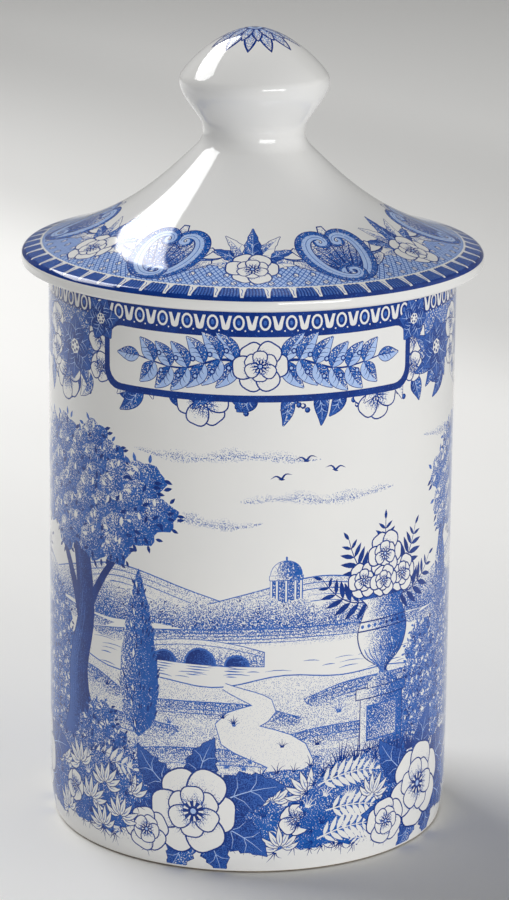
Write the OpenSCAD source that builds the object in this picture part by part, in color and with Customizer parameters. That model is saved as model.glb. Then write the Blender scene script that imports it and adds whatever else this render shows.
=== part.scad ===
// Spice jar of glazed earthenware: a straight cylinder on a low foot ring, a flared lid with a
// knob, and a soft finned ring that seals the lid's spigot in the mouth of the jar.
// Millimetres, +Z up. The origin is the middle of the foot, on the surface the jar stands on.

/* [Jar] */
// Outside diameter of the jar
body_d = 68; // [58:0.5:84]
// Height of the jar from its foot to its mouth
jar_h = 95.7; // [70:0.1:140]
// Thickness of the side wall
jar_wall = 3.6; // [2.8:0.1:5]
// Thickness of the floor
floor_t = 4.4; // [3:0.1:8]
// Radius of the rounded edges of the mouth
lip_round = 0.7; // [0.4:0.1:1.3]
// Radius of the corner between the floor and the side, inside
floor_round = 4; // [1:0.5:8]

/* [Foot] */
// How far the side draws in at the foot
foot_tuck = 0.9; // [0.2:0.1:2]
// Height over which the side draws in
foot_curve_h = 7; // [3:0.5:12]
// Radius of the foot's outer edge
foot_round = 0.6; // [0.2:0.1:1.2]
// Width of the ring that the jar stands on
foot_ring_w = 2.8; // [1.5:0.1:6]
// Depth of the recess inside the ring
foot_recess = 1.2; // [0.5:0.1:3]

/* [Lid] */
// How far the rim stands out past the side of the jar
rim_overhang = 4.5; // [1:0.1:8]
// Height of the rim's edge below its rounded top
rim_edge_h = 1.3; // [1.1:0.1:3]
// Radius of the rim's lower corner
rim_round = 0.8; // [0.2:0.1:1]
// Radius of the rim's rounded top
rim_nose = 1.4; // [0.6:0.1:2.5]
// Slope of the lid where it leaves the rim, in degrees
flare_slope = 15.5; // [8:0.5:25]
// Length over which the lid keeps to the rim's slope
flare_run = 16; // [8:0.5:19]
// Slope of the lid just below the neck, in degrees
cone_slope = 44; // [35:1:60]
// Length over which the lid keeps to the slope below the neck
cone_run = 8.4; // [3:0.2:12]
// Thickness of the lid's shell
lid_wall = 3.2; // [2.4:0.1:4.5]

/* [Knob] */
// Diameter of the neck at its narrowest
neck_d = 16.9; // [13:0.1:20]
// Height of the neck's narrowest place above the underside of the rim
neck_h = 22.1; // [18:0.1:27]
// Radius of the neck's hollow
neck_round = 3.8; // [2:0.1:5]
// Slope of the knob's underside where it leaves the neck, in degrees
knob_slope = 55; // [45:1:70]
// Length over which the underside keeps to that slope
knob_run = 3; // [1:0.1:5]
// Diameter of the knob at its waist
knob_d = 24.8; // [22:0.1:32]
// Height of the waist above the neck
waist_h = 8.3; // [6:0.1:12]
// Softness of the waist's edge on its lower side
waist_soft = 2; // [0.4:0.1:4]
// Radius of the waist's edge on its upper side
waist_round = 2.1; // [0.6:0.1:2.8]
// Height of the knob's dome above the waist
dome_h = 8.7; // [5:0.1:12]
// Slope of the dome where it leaves the waist, in degrees
dome_slope = 55; // [40:1:65]
// Length over which the dome keeps to that slope
dome_run = 4; // [2:0.1:5]
// Half width of the dome's flat crown
crown_run = 4.4; // [3:0.1:7]

/* [Spigot and seal] */
// Room between the spigot and the bore of the jar
spigot_gap = 3; // [2.6:0.1:4]
// Thickness of the spigot's wall
spigot_wall = 2.6; // [2:0.1:4]
// Height of the bead along the spigot's lower edge
bead_h = 1.6; // [1:0.1:3]
// How far the bead stands out of the spigot
bead_out = 0.8; // [0.4:0.1:1.2]
// Height of the sealing ring
seal_h = 6.4; // [4.5:0.1:10]
// Thickness of the sealing ring's band
seal_band = 1.2; // [0.8:0.1:1.5]
// Number of fins on the sealing ring
fin_n = 3; // [1:1:3]
// Thickness of a fin at its root
fin_root_t = 1; // [0.6:0.1:1.2]
// Thickness of a fin at its edge
fin_edge_t = 0.5; // [0.3:0.05:0.6]
// How far a fin's edge lies above its root
fin_rise = 0.4; // [0:0.1:0.6]

/* [Clearances] */
// Gap between the mouth and the lid that sits on it
lid_gap = 0.2; // [0.1:0.05:0.4]
// Gap between the fins and the bore of the jar
fin_gap = 0.3; // [0.2:0.05:0.5]
// Gap between the sealing ring and the spigot that turns in it
turn_gap = 0.08; // [0.04:0.01:0.1]
// Gap above the sealing ring and below it
end_gap = 0.15; // [0.1:0.05:0.3]

/* [Hidden] */
$fn = 96;

glaze_white = [0.92, 0.91, 0.88];
seal_white = [0.80, 0.82, 0.80];

// Steps in a rounded corner and in a longer curve
corner_steps = 4;
curve_steps = 12;

// The jar
body_r = body_d / 2;
bore_r = body_r - jar_wall;
floor_z = foot_recess + floor_t;
foot_edge_r = side_r(foot_round);
foot_ring_r = foot_edge_r - foot_round - foot_ring_w;

// Heights and radii up the lid
lid_z = jar_h + lid_gap;
rim_r = body_r + rim_overhang;
neck_r = neck_d / 2;
neck_z = lid_z + neck_h;
knob_r = knob_d / 2;
waist_z = neck_z + waist_h;
top_z = waist_z + dome_h;

// The spigot, the bead at its foot and the sealing ring between bead and lid
spigot_r = bore_r - spigot_gap;
spigot_bore_r = spigot_r - spigot_wall;
bead_r = spigot_r + bead_out;
seal_top_z = lid_z - end_gap;
seal_z = seal_top_z - seal_h;
bead_top_z = seal_z - end_gap;
spigot_z = bead_top_z - bead_h;
seal_bore_r = spigot_r + turn_gap;
seal_band_r = seal_bore_r + seal_band;
fin_r = bore_r - fin_gap;
fin_pitch = seal_h / fin_n;

// The blind hole in the knob leaves the shell's thickness at the neck and under the crown
hole_r = neck_r - lid_wall;
hole_dome_h = min(hole_r, dome_h - lid_wall);

// The rim's rounded top, and where the flare leaves it
nose_c = [rim_r - rim_nose, lid_z + rim_edge_h];
rim_top = nose_c + rim_nose * [sin(flare_slope), cos(flare_slope)];

// Guide points of the flare, from the top of the rim up to the neck
neck_c = [neck_r + neck_round, neck_z];
neck_foot = neck_c + neck_round * [-sin(cone_slope), -cos(cone_slope)];
neck_head = neck_c + neck_round * [-sin(knob_slope), cos(knob_slope)];
flare = [
    rim_top,
    rim_top + flare_run * [-cos(flare_slope), sin(flare_slope)],
    neck_foot + cone_run * [cos(cone_slope), -sin(cone_slope)],
    neck_foot
];

// Guide points of the knob's underside, and of its dome above the rounded waist
knob_under = [
    neck_head,
    neck_head + knob_run * [cos(knob_slope), sin(knob_slope)],
    [knob_r, waist_z - waist_soft],
    [knob_r, waist_z]
];
waist_c = [knob_r - waist_round, waist_z];
dome_foot = waist_c + waist_round * [sin(dome_slope), cos(dome_slope)];
knob_dome = [
    dome_foot,
    dome_foot + dome_run * [-cos(dome_slope), sin(dome_slope)],
    [crown_run, top_z],
    [0, top_z]
];

// Radius of the jar's side at a height above the foot
function side_r(z) = body_r - foot_tuck * pow(max(0, 1 - z / foot_curve_h), 2);

// Points of an arc about a centre, from one angle to another
function arc(c, r, a0, a1, n) =
    [for (i = [0 : n]) let (a = a0 + (a1 - a0) * i / n) c + r * [cos(a), sin(a)]];

// Point and heading on a curve drawn by four guide points
function bend(g, t) =
    pow(1 - t, 3) * g[0] + 3 * pow(1 - t, 2) * t * g[1] + 3 * (1 - t) * t * t * g[2] + t * t * t * g[3];
function heading(g, t) =
    let (d = pow(1 - t, 2) * (g[1] - g[0]) + 2 * (1 - t) * t * (g[2] - g[1]) + t * t * (g[3] - g[2]))
    d / norm(d);

// Points that go on from where the outline already is
function after_first(points) = [for (i = [1 : len(points) - 1]) points[i]];
function bend_points(g, n) = [for (i = [1 : n]) bend(g, i / n)];

// Inside of the lid's shell below a place on the flare, kept within the spigot
function under_flare(t) =
    let (d = heading(flare, t), p = bend(flare, t) + lid_wall * [-d[1], d[0]])
    [min(p[0], spigot_bore_r), p[1]];

// A solid turned about the jar's axis
module turned(profile) {
    rotate_extrude() polygon(profile);
}

module jar_body() {
    color(glaze_white)
        turned(concat(
            [[0, foot_recess], [foot_ring_r - foot_recess, foot_recess], [foot_ring_r, 0]],
            arc([foot_edge_r - foot_round, foot_round], foot_round, -90, 0, corner_steps),
            [for (i = [1 : corner_steps])
                let (z = foot_round + (foot_curve_h - foot_round) * i / corner_steps) [side_r(z), z]],
            arc([body_r - lip_round, jar_h - lip_round], lip_round, 0, 90, corner_steps),
            arc([bore_r + lip_round, jar_h - lip_round], lip_round, 90, 180, corner_steps),
            arc([bore_r - floor_round, floor_z + floor_round], floor_round, 0, -90, corner_steps),
            [[0, floor_z]]
        ));
}

module lid() {
    color(glaze_white)
        turned(concat(
            [[spigot_bore_r, spigot_z], [bead_r - bead_out / 2, spigot_z]],
            [[bead_r, spigot_z + bead_h / 2], [bead_r, bead_top_z], [spigot_r, bead_top_z]],
            [[spigot_r, lid_z]],
            arc([rim_r - rim_round, lid_z + rim_round], rim_round, -90, 0, corner_steps),
            arc(nose_c, rim_nose, 0, 90 - flare_slope, corner_steps),
            bend_points(flare, curve_steps),
            after_first(arc(neck_c, neck_round, 270 - cone_slope, 90 + knob_slope, corner_steps * 2)),
            bend_points(knob_under, corner_steps * 2),
            after_first(arc(waist_c, waist_round, 0, 90 - dome_slope, corner_steps)),
            bend_points(knob_dome, curve_steps),
            [for (i = [0 : corner_steps])
                let (a = 90 - 90 * i / corner_steps) [hole_r * cos(a), waist_z + hole_dome_h * sin(a)]],
            [[hole_r, neck_z]],
            [for (i = [curve_steps : -1 : 0]) under_flare(i / curve_steps)]
        ));
}

module seal_ring() {
    color(seal_white) {
        turned([
            [seal_bore_r, seal_z],
            [seal_band_r, seal_z],
            [seal_band_r, seal_top_z],
            [seal_bore_r, seal_top_z]
        ]);
        for (i = [0 : fin_n - 1]) fin(seal_z + fin_pitch * (i + 0.5));
    }
}

// One fin of the sealing ring, rooted in the middle of the band
module fin(root_z) {
    edge_z = root_z + fin_rise;
    turned([
        [seal_bore_r + seal_band / 2, root_z - fin_root_t / 2],
        [fin_r, edge_z - fin_edge_t / 2],
        [fin_r, edge_z + fin_edge_t / 2],
        [seal_bore_r + seal_band / 2, root_z + fin_root_t / 2]
    ]);
}

jar_body();
lid();
seal_ring();
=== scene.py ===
"""Looks of the spice jar: a glazed jar and lid with a blue print, and the lid's soft seal."""
import logging
import math
import random
from collections import defaultdict
from dataclasses import dataclass, field
from enum import Enum, IntEnum
from functools import cache

import bmesh
import bpy
import numpy as np
from mathutils import Matrix, Vector
from mathutils.geometry import delaunay_2d_cdt


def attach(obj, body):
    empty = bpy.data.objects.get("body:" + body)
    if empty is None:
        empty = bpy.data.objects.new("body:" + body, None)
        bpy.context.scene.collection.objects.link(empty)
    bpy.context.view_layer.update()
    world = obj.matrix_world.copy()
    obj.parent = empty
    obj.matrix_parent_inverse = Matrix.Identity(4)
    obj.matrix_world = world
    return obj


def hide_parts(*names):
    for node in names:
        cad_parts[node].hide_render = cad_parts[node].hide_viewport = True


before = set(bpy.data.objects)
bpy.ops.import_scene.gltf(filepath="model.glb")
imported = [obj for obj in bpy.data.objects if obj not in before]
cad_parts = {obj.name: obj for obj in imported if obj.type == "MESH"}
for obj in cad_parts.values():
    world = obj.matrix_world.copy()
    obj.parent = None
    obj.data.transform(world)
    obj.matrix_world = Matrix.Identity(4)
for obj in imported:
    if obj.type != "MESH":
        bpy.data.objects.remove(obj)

Points = np.ndarray
Place = tuple[float, float]
Colour = tuple[float, float, float, float]
Values = dict[str | int, float | tuple[float, ...]]

MM = 0.001
PHOTO_SIZE = (509, 900)
SENSOR_MM = 36.0
LINE_SLACK = 0.028
MERGE_GAP = 1e-4
WELD_GAP = 3e-7
TINY = 1e-9
GLAZE_IOR = 1.45
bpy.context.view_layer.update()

log = logging.getLogger("spice_jar")


class Tone(IntEnum):
    """What lies on a face of a fired piece, in the order of its material slots."""

    GLAZE = 0
    PALE = 1
    MID = 2
    DEEP = 3
    STIPPLE = 4
    SHADE = 5
    CLAY = 6


class LeafLook(Enum):
    """How a printed leaf is shaded."""

    DARK = "dark blade with pale veins"
    LIGHT = "bare blade with a blue edge and blue veins"
    TINTED = "pale with a mid half"
    HALVED = "one half deep and one half lighter"


# Lines and outlines, in millimetres on a flat sheet


def steps(count: int) -> np.ndarray:
    """Give even steps from 0 to 1."""
    return np.linspace(0.0, 1.0, count)


def left_of(path: Points) -> Points:
    """Find the way to the left of a path.

    Args:
        path: Points along the path.

    Returns:
        One unit vector for each point.
    """
    way = np.gradient(path, axis=0)
    left = np.column_stack([-way[:, 1], way[:, 0]])
    return left / np.maximum(np.linalg.norm(left, axis=1, keepdims=True), TINY)


def between(one: Points, other: Points) -> Points:
    """Close an outline between two paths that run side by side."""
    return np.concatenate([one, other[::-1]])


def ribbon(path: Points, width: float | np.ndarray) -> Points:
    """Widen a path to an outline.

    Args:
        path: Points along the middle.
        width: One width, or one for each point.

    Returns:
        The closed outline.
    """
    half = left_of(path) * np.broadcast_to(width, len(path)).reshape(-1, 1) / 2
    return between(path + half, path - half)


def bow(start: Place, end: Place, lift: float, count: int = 7) -> Points:
    """Draw a curved path between two places.

    Args:
        start: Where it starts.
        end: Where it ends.
        lift: How far its middle stands to the left of the straight line.
        count: Number of points.

    Returns:
        Points along the path.
    """
    first = np.array(start, float)
    run = np.array(end, float) - first
    across = np.array([-run[1], run[0]]) / max(np.linalg.norm(run), TINY)
    share = steps(count)[:, None]
    return first + run * share + across * lift * 4 * share * (1 - share)


def through(places: list[Place], count: int) -> Points:
    """Draw a smooth path through places.

    Args:
        places: The places in order.
        count: Number of points.

    Returns:
        Points along the path.
    """
    known = np.array(places, float)
    padded = np.vstack([2 * known[0] - known[1], known, 2 * known[-1] - known[-2]])
    share = steps(count) * (len(known) - 1)
    piece = np.minimum(share.astype(int), len(known) - 2)
    t = (share - piece)[:, None]
    a, b, c, d = (padded[piece + k] for k in range(4))
    return b + 0.5 * t * (c - a + t * (2 * a - 5 * b + 4 * c - d + t * (3 * (b - c) + d - a)))


def oval(x: float, y: float, half_w: float, half_h: float, count: int = 16) -> Points:
    """Draw an oval outline.

    Args:
        x: Middle across.
        y: Middle up.
        half_w: Half its width.
        half_h: Half its height.
        count: Number of points.

    Returns:
        The closed outline.
    """
    turn = np.linspace(0, math.tau, count, endpoint=False)
    return np.column_stack([x + half_w * np.cos(turn), y + half_h * np.sin(turn)])


def block(left: float, low: float, right: float, high: float, corner: float = 0.0) -> Points:
    """Draw an upright block, with rounded corners where a radius is given.

    Args:
        left: Left edge.
        low: Lower edge.
        right: Right edge.
        high: Upper edge.
        corner: Corner radius.

    Returns:
        The closed outline.
    """
    if corner <= 0:
        return np.array([(left, low), (right, low), (right, high), (left, high)], float)
    turn = steps(6) * math.pi / 2
    quarter = corner * np.column_stack([np.cos(turn), np.sin(turn)])
    spin = np.array([[0, 1], [-1, 0]], float)
    corners = []
    middles = ((right, high, -1, -1), (left, high, 1, -1), (left, low, 1, 1), (right, low, -1, 1))
    for x, y, to_x, to_y in middles:
        corners.append(quarter + (x + to_x * corner, y + to_y * corner))
        quarter = quarter @ spin
    return np.concatenate(corners)


def covered(places: Points, outline: Points) -> np.ndarray:
    """Tell which places an outline covers.

    Args:
        places: The places to test.
        outline: A closed outline.

    Returns:
        True for each place that lies inside.
    """
    x, y = places[:, :1], places[:, 1:]
    x0, y0 = outline.T
    x1, y1 = np.roll(outline, -1, axis=0).T
    cross = (x1 - x0) * (y - y0) - (x - x0) * (y1 - y0)
    rising = (y0 <= y) & (y1 > y) & (cross > 0)
    falling = (y0 > y) & (y1 <= y) & (cross < 0)
    return rising.sum(axis=1) != falling.sum(axis=1)


def triangulate(lines: list[Points]) -> tuple[Points, np.ndarray]:
    """Cut the plane into triangles along lines.

    Args:
        lines: Points along each line.

    Returns:
        The points, and three point numbers for each triangle.
    """
    edges = []
    count = 0
    for line in lines:
        edges += [(k, k + 1) for k in range(count, count + len(line) - 1)]
        count += len(line)
    flat = [Vector(place) for place in np.concatenate(lines)]
    found = delaunay_2d_cdt(flat, edges, [], 0, MERGE_GAP)
    return np.array([place[:] for place in found[0]]), np.array(found[2])


def chains(edges: np.ndarray) -> list[list[int]]:
    """String edges together into paths that end where lines meet.

    Args:
        edges: Two point numbers for each edge.

    Returns:
        The point numbers along each path.
    """
    near: dict[int, list[int]] = defaultdict(list)
    for one, other in edges.tolist():
        near[one].append(other)
        near[other].append(one)
    joints = {point for point, others in near.items() if len(others) != 2}
    strings = []
    for start in list(joints) + list(near):
        while near[start]:
            string = [start]
            here = start
            while near[here] and (here == start or here not in joints):
                ahead = near[here].pop()
                near[ahead].remove(here)
                string.append(ahead)
                here = ahead
                if here == start:
                    break
            strings.append(string)
    return strings


def thin(path: Points, slack: float) -> Points:
    """Leave out the points that lie on straight parts of a path.

    Args:
        path: Points along the path.
        slack: How far a point that is left out may lie off the new path.

    Returns:
        The points that stay, both ends among them.
    """
    keep = np.zeros(len(path), bool)
    keep[[0, -1]] = True
    spans = [(0, len(path) - 1)]
    while spans:
        first, last = spans.pop()
        if last - first < 2:
            continue
        run = path[last] - path[first]
        off = path[first + 1:last] - path[first]
        length = math.hypot(*run)
        far = np.abs(off[:, 0] * run[1] - off[:, 1] * run[0]) / length if length > 1e-6 else np.hypot(*off.T)
        middle = first + 1 + int(far.argmax())
        if far.max() > slack:
            keep[middle] = True
            spans += [(first, middle), (middle, last)]
    return path[keep]


@dataclass(frozen=True)
class Spot:
    """A place for a motif: moved, turned, scaled and perhaps mirrored."""

    x: float = 0.0
    y: float = 0.0
    turn: float = 0.0
    size: float = 1.0
    flip: int = 1
    base: "Spot | None" = None

    def place(self, points: Points) -> Points:
        """Carry points from the motif's own measure to the sheet.

        Args:
            points: Points of the motif.

        Returns:
            The same points on the sheet.
        """
        cos, sin = math.cos(self.turn), math.sin(self.turn)
        across = points[:, 0] * self.size * self.flip
        up = points[:, 1] * self.size
        moved = np.column_stack([self.x + cos * across - sin * up, self.y + sin * across + cos * up])
        return self.base.place(moved) if self.base else moved

    def at(self, x: float, y: float, turn: float = 0.0, size: float = 1.0, flip: int = 1) -> "Spot":
        """Give a spot measured from this one."""
        return Spot(x, y, turn, size, flip, self)


@dataclass(frozen=True)
class Fade:
    """A share of ink that changes evenly from one place to another."""

    start: Place
    end: Place
    first: float
    last: float

    def laid(self, spot: Spot, shift: float) -> "Fade":
        """Carry the fade to the sheet with its shape."""
        start, end = spot.place(np.array([self.start, self.end], float)) + (shift, 0.0)
        return Fade(tuple(start), tuple(end), self.first, self.last)

    def share(self, places: Points) -> np.ndarray:
        """Give the share of ink at places.

        Args:
            places: Places on the sheet.

        Returns:
            One share for each place.
        """
        run = np.subtract(self.end, self.start)
        along = np.clip((places - np.array(self.start)) @ run / max(run @ run, TINY), 0, 1)
        return self.first + (self.last - self.first) * along


@dataclass(frozen=True)
class Fall:
    """A share of ink that changes from a line downwards."""

    line: Points
    depth: float
    first: float
    last: float

    def laid(self, spot: Spot, shift: float) -> "Fall":
        """Carry the fall to the sheet with its shape."""
        return Fall(spot.place(self.line) + (shift, 0.0), self.depth, self.first, self.last)

    def share(self, places: Points) -> np.ndarray:
        """Give the share of ink at places.

        Args:
            places: Places on the sheet.

        Returns:
            One share for each place.
        """
        top = np.interp(places[:, 0], self.line[:, 0], self.line[:, 1])
        along = np.clip((top - places[:, 1]) / self.depth, 0, 1)
        return self.first + (self.last - self.first) * along


def sideways(left: float, right: float, first: float, last: float) -> Fade:
    """Give a share of ink that changes from left to right."""
    return Fade((left, 0), (right, 0), first, last)


def even(share: float) -> Fade:
    """Give the same share of ink everywhere."""
    return sideways(0, 1, share, share)


@dataclass
class Shape:
    """One filled shape on a sheet."""

    outline: Points
    tone: Tone
    ink: Fade | Fall | None


@dataclass
class PrintSheet:
    """A transfer print, flat, before it goes round a turned piece."""

    span: float
    shapes: list[Shape] = field(default_factory=list)

    def fill(self, outline: Points, tone: Tone, spot: Spot = Spot(), ink: Fade | Fall | None = None) -> None:
        """Lay a filled shape on the sheet, and again where it runs over the seam.

        Args:
            outline: Its closed outline.
            tone: Its tone.
            spot: Where it goes.
            ink: How much ink a stippled or shaded tone takes.
        """
        laid = spot.place(np.asarray(outline, float))
        for shift in (0.0, -self.span, self.span):
            moved = laid + (shift, 0.0)
            if moved[:, 0].min() < self.span / 2 and moved[:, 0].max() > -self.span / 2:
                self.shapes.append(Shape(moved, tone, ink.laid(spot, shift) if ink else None))

    def line(self, path: Points, width: float | np.ndarray, tone: Tone, spot: Spot = Spot()) -> None:
        """Lay a line of one width, or of one for each point."""
        self.fill(ribbon(path, width), tone, spot)

    def dot(self, x: float, y: float, radius: float, tone: Tone, spot: Spot = Spot()) -> None:
        """Lay a small dot."""
        self.fill(oval(x, y, radius, radius, 7), tone, spot)

    def seen_lines(self, low: float, high: float) -> list[Points]:
        """Find the lines along which the print that shows changes.

        Args:
            low: Lower edge of the sheet.
            high: Its upper edge.

        Returns:
            Points along each line.
        """
        outlines = [block(-self.span / 2, low, self.span / 2, high)]
        outlines += [shape.outline for shape in self.shapes]
        points, triangles = triangulate([np.vstack([outline, outline[:1]]) for outline in outlines])
        triangles = triangles[self.within(points[triangles].mean(axis=1), low, high)]
        own = [k + len(Tone) if shape.ink else int(shape.tone) for k, shape in enumerate(self.shapes)]
        look = np.array(own + [int(Tone.GLAZE)])[self.topmost(points[triangles].mean(axis=1))]
        sides = np.sort(triangles[:, [0, 1, 1, 2, 2, 0]].reshape(-1, 2), axis=1)
        order = np.lexsort(sides.T)
        paired = (sides[order][1:] == sides[order][:-1]).all(axis=1)
        one, other = order[:-1][paired], order[1:][paired]
        changes = look[one // 3] != look[other // 3]
        return [thin(points[string], LINE_SLACK) for string in chains(sides[one[changes]])]

    def within(self, places: Points, low: float, high: float) -> np.ndarray:
        """Tell which places lie on the sheet."""
        return (abs(places[:, 0]) < self.span / 2) & (places[:, 1] > low) & (places[:, 1] < high)

    def cut(self, rows: np.ndarray, columns: int) -> tuple[Points, np.ndarray, np.ndarray, np.ndarray]:
        """Cut the sheet into triangles along its print and along the facets of the piece.

        Args:
            rows: Runs at which the piece's facets change.
            columns: Number of facets round the piece.

        Returns:
            The flat points, the triangles, the tone of each triangle and the share of ink at its corners.
        """
        half = self.span / 2
        lines = [np.array([(-half, row), (half, row)]) for row in rows]
        lines += [np.array([(x, rows[0]), (x, rows[-1])]) for x in np.linspace(-half, half, columns + 1)]
        points, triangles = triangulate(lines + self.seen_lines(rows[0], rows[-1]))
        triangles = triangles[self.within(points[triangles].mean(axis=1), rows[0], rows[-1])]
        tones, shares = self.paint(points[triangles])
        return points, triangles, tones, shares

    def topmost(self, places: Points) -> np.ndarray:
        """Find the topmost shape at places.

        Args:
            places: Places on the sheet.

        Returns:
            The number of a shape for each place, or -1 where there is none.
        """
        top = np.full(len(places), -1)
        order = np.argsort(places[:, 0])
        sorted_x = places[order, 0]
        for number, shape in enumerate(self.shapes):
            low, high = shape.outline.min(axis=0), shape.outline.max(axis=0)
            first, last = np.searchsorted(sorted_x, [low[0], high[0]])
            near = order[first:last]
            near = near[(places[near, 1] > low[1]) & (places[near, 1] < high[1])]
            if len(near):
                top[near[covered(places[near], shape.outline)]] = number
        return top

    def paint(self, corners: Points) -> tuple[np.ndarray, np.ndarray]:
        """Give each triangle the tone and the ink of its topmost shape.

        Args:
            corners: The three corners of each triangle.

        Returns:
            The tone of each triangle, and the share of ink at each corner.
        """
        top = self.topmost(corners.mean(axis=1))
        tones = np.array([int(shape.tone) for shape in self.shapes] + [int(Tone.GLAZE)])[top]
        shares = np.zeros(corners.shape[:2])
        order = np.argsort(top, kind="stable")
        bounds = np.searchsorted(top[order], np.arange(len(self.shapes) + 1))
        for number, shape in enumerate(self.shapes):
            mine = order[bounds[number]:bounds[number + 1]]
            if shape.ink and len(mine):
                shares[mine] = shape.ink.share(corners[mine].reshape(-1, 2)).reshape(-1, 3)
        return tones, shares


@dataclass
class Engraver:
    """Draws leaves, flowers, scrolls and garden scenery on a sheet."""

    sheet: PrintSheet
    dice: random.Random

    def lens(self, spot: Spot, length: float, width: float, tone: Tone) -> None:
        """Draw one plain pointed leaf.

        Args:
            spot: Where it starts.
            length: Its length.
            width: Its width.
            tone: Its tone.
        """
        share = steps(5)
        path = np.column_stack([length * share, 0 * share])
        self.sheet.line(path, width * np.sin(np.pi * share**0.85), tone, spot)

    def leaf(
        self, spot: Spot, length: float, width: float, look: LeafLook, curl: float = 0.0, teeth: int = 0
    ) -> None:
        """Draw a broad veined leaf that grows from the spot.

        Args:
            spot: Where its stalk is.
            length: Its length.
            width: Its width.
            look: How it is shaded.
            curl: Share of its length by which it bends.
            teeth: Number of teeth on each edge.
        """
        share = steps(3 * teeth + 1 if teeth else 13)
        middle = np.column_stack([length * share, curl * length * share * (1 - share) * 4])
        half = width / 2 * np.sin(np.pi * share**0.75)
        if teeth:
            half = half * (1 - 0.3 * ((share * teeth + 0.01) % 1.0))
        left = left_of(middle)
        side = left * half[:, None]
        blade = between(middle + side, middle - side)
        upper = between(middle, middle + side)
        self.sheet.line(middle, 2 * half + 0.26, Tone.DEEP, spot)
        if look is LeafLook.LIGHT:
            self.sheet.fill(blade, Tone.GLAZE, spot)
            self.sheet.fill(upper, Tone.STIPPLE, spot, sideways(0, length, 0.75, 0.1))
        elif look is LeafLook.TINTED:
            self.sheet.fill(blade, Tone.PALE, spot)
            self.sheet.fill(upper, Tone.STIPPLE, spot, sideways(0, length, 0.85, 0.4))
        else:
            self.sheet.fill(blade, Tone.SHADE, spot, sideways(0, length, 0.7, 0.08))
        if look is LeafLook.HALVED:
            self.sheet.fill(upper, Tone.STIPPLE, spot, sideways(0, length, 0.95, 0.55))
        vein = {LeafLook.LIGHT: Tone.MID, LeafLook.TINTED: Tone.DEEP}.get(look, Tone.PALE)
        self.sheet.line(middle[:-2], np.linspace(0.03 * width + 0.06, 0.05, len(middle) - 2), vein, spot)
        for share_at in (0.18, 0.38, 0.58):
            k = int(share_at * (len(middle) - 1))
            for way in (1, -1):
                tip = middle[k] + left[k] * way * half[k] * 0.8 + (0.14 * length, 0)
                vein_path = bow(tuple(middle[k]), tuple(tip), -way * 0.03 * length, 3)
                self.sheet.line(vein_path, np.array([0.12, 0.1, 0.04]), vein, spot)

    def petal(self, spot: Spot, reach: float, width: float) -> None:
        """Draw one rounded petal with a soft tone at its base.

        Args:
            spot: The middle of its flower, turned to the petal.
            reach: Its length.
            width: Its width.
        """
        turn = np.linspace(-math.pi, math.pi, 14 + 2 * int(reach), endpoint=False)
        x = 0.56 + 0.45 * np.cos(turn) * (1 - self.dice.uniform(0.0, 0.12) * np.exp(-((turn / 0.4) ** 2)))
        y = width / 2 * np.sign(np.sin(turn)) * np.abs(np.sin(turn)) ** 0.84 * (1 + 0.14 * np.cos(turn))
        outline = np.column_stack([x * reach, y])
        edge = np.column_stack([np.cos(turn), np.sin(turn)]) * (0.15 + 0.022 * reach)
        self.sheet.fill(outline + edge, Tone.DEEP, spot)
        self.sheet.fill(outline, Tone.STIPPLE, spot, sideways(0.25 * reach, 0.66 * reach, 0.5, 0.0))
        for way in (-0.28, 0.0, 0.28):
            line = bow((reach * 0.25, way * width * 0.4), (reach * 0.62, way * width), 0.0, 3)
            self.sheet.line(line, np.array([0.2, 0.14, 0.03]), Tone.DEEP, spot)

    def blossom(self, spot: Spot, radius: float, petals: int, rows: int = 2) -> None:
        """Draw an open flower seen from the front.

        Args:
            spot: Its middle.
            radius: Its radius.
            petals: Petals in a row.
            rows: Rows of petals.
        """
        for row in range(rows):
            reach = radius * (1 - 0.4 * row)
            width = 1.42 * reach * math.tan(math.pi / petals)
            for k in list(range(0, petals, 2)) + list(range(1, petals, 2)):
                turn = math.tau * (k + 0.5 * row) / petals + self.dice.uniform(-0.08, 0.08)
                self.petal(spot.at(0, 0, turn), reach * self.dice.uniform(0.93, 1.05), width)
        core = 0.24 * radius
        self.sheet.fill(oval(0, 0, core, core, 14), Tone.DEEP, spot)
        ray = np.array([(0.5 * core, 0), (0.72 * core, 0), (0.95 * core, 0)])
        thick = np.array([0.1, 0.18, 0.26]) * core
        rays = 9
        for k in range(rays):
            self.sheet.line(ray, thick, Tone.GLAZE, spot.at(0, 0, math.tau * k / rays))
        self.sheet.dot(0, 0, 0.28 * core, Tone.PALE, spot)

    def bloom(self, spot: Spot, radius: float, petals: int) -> None:
        """Draw an open flower with dark, veined petals.

        Args:
            spot: Its middle.
            radius: Its radius.
            petals: Number of petals.
        """
        for k in range(petals):
            put = spot.at(0, 0, math.tau * k / petals)
            self.leaf(put, radius * self.dice.uniform(0.92, 1.05), 2.4 * radius / petals**0.6, LeafLook.DARK)
        self.sheet.dot(0, 0, 0.24 * radius, Tone.GLAZE, spot)
        seeds = 6
        for k in range(seeds):
            turn = math.tau * k / seeds
            x, y = 0.14 * radius * math.cos(turn), 0.14 * radius * math.sin(turn)
            self.sheet.dot(x, y, 0.05 * radius, Tone.DEEP, spot)

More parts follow.
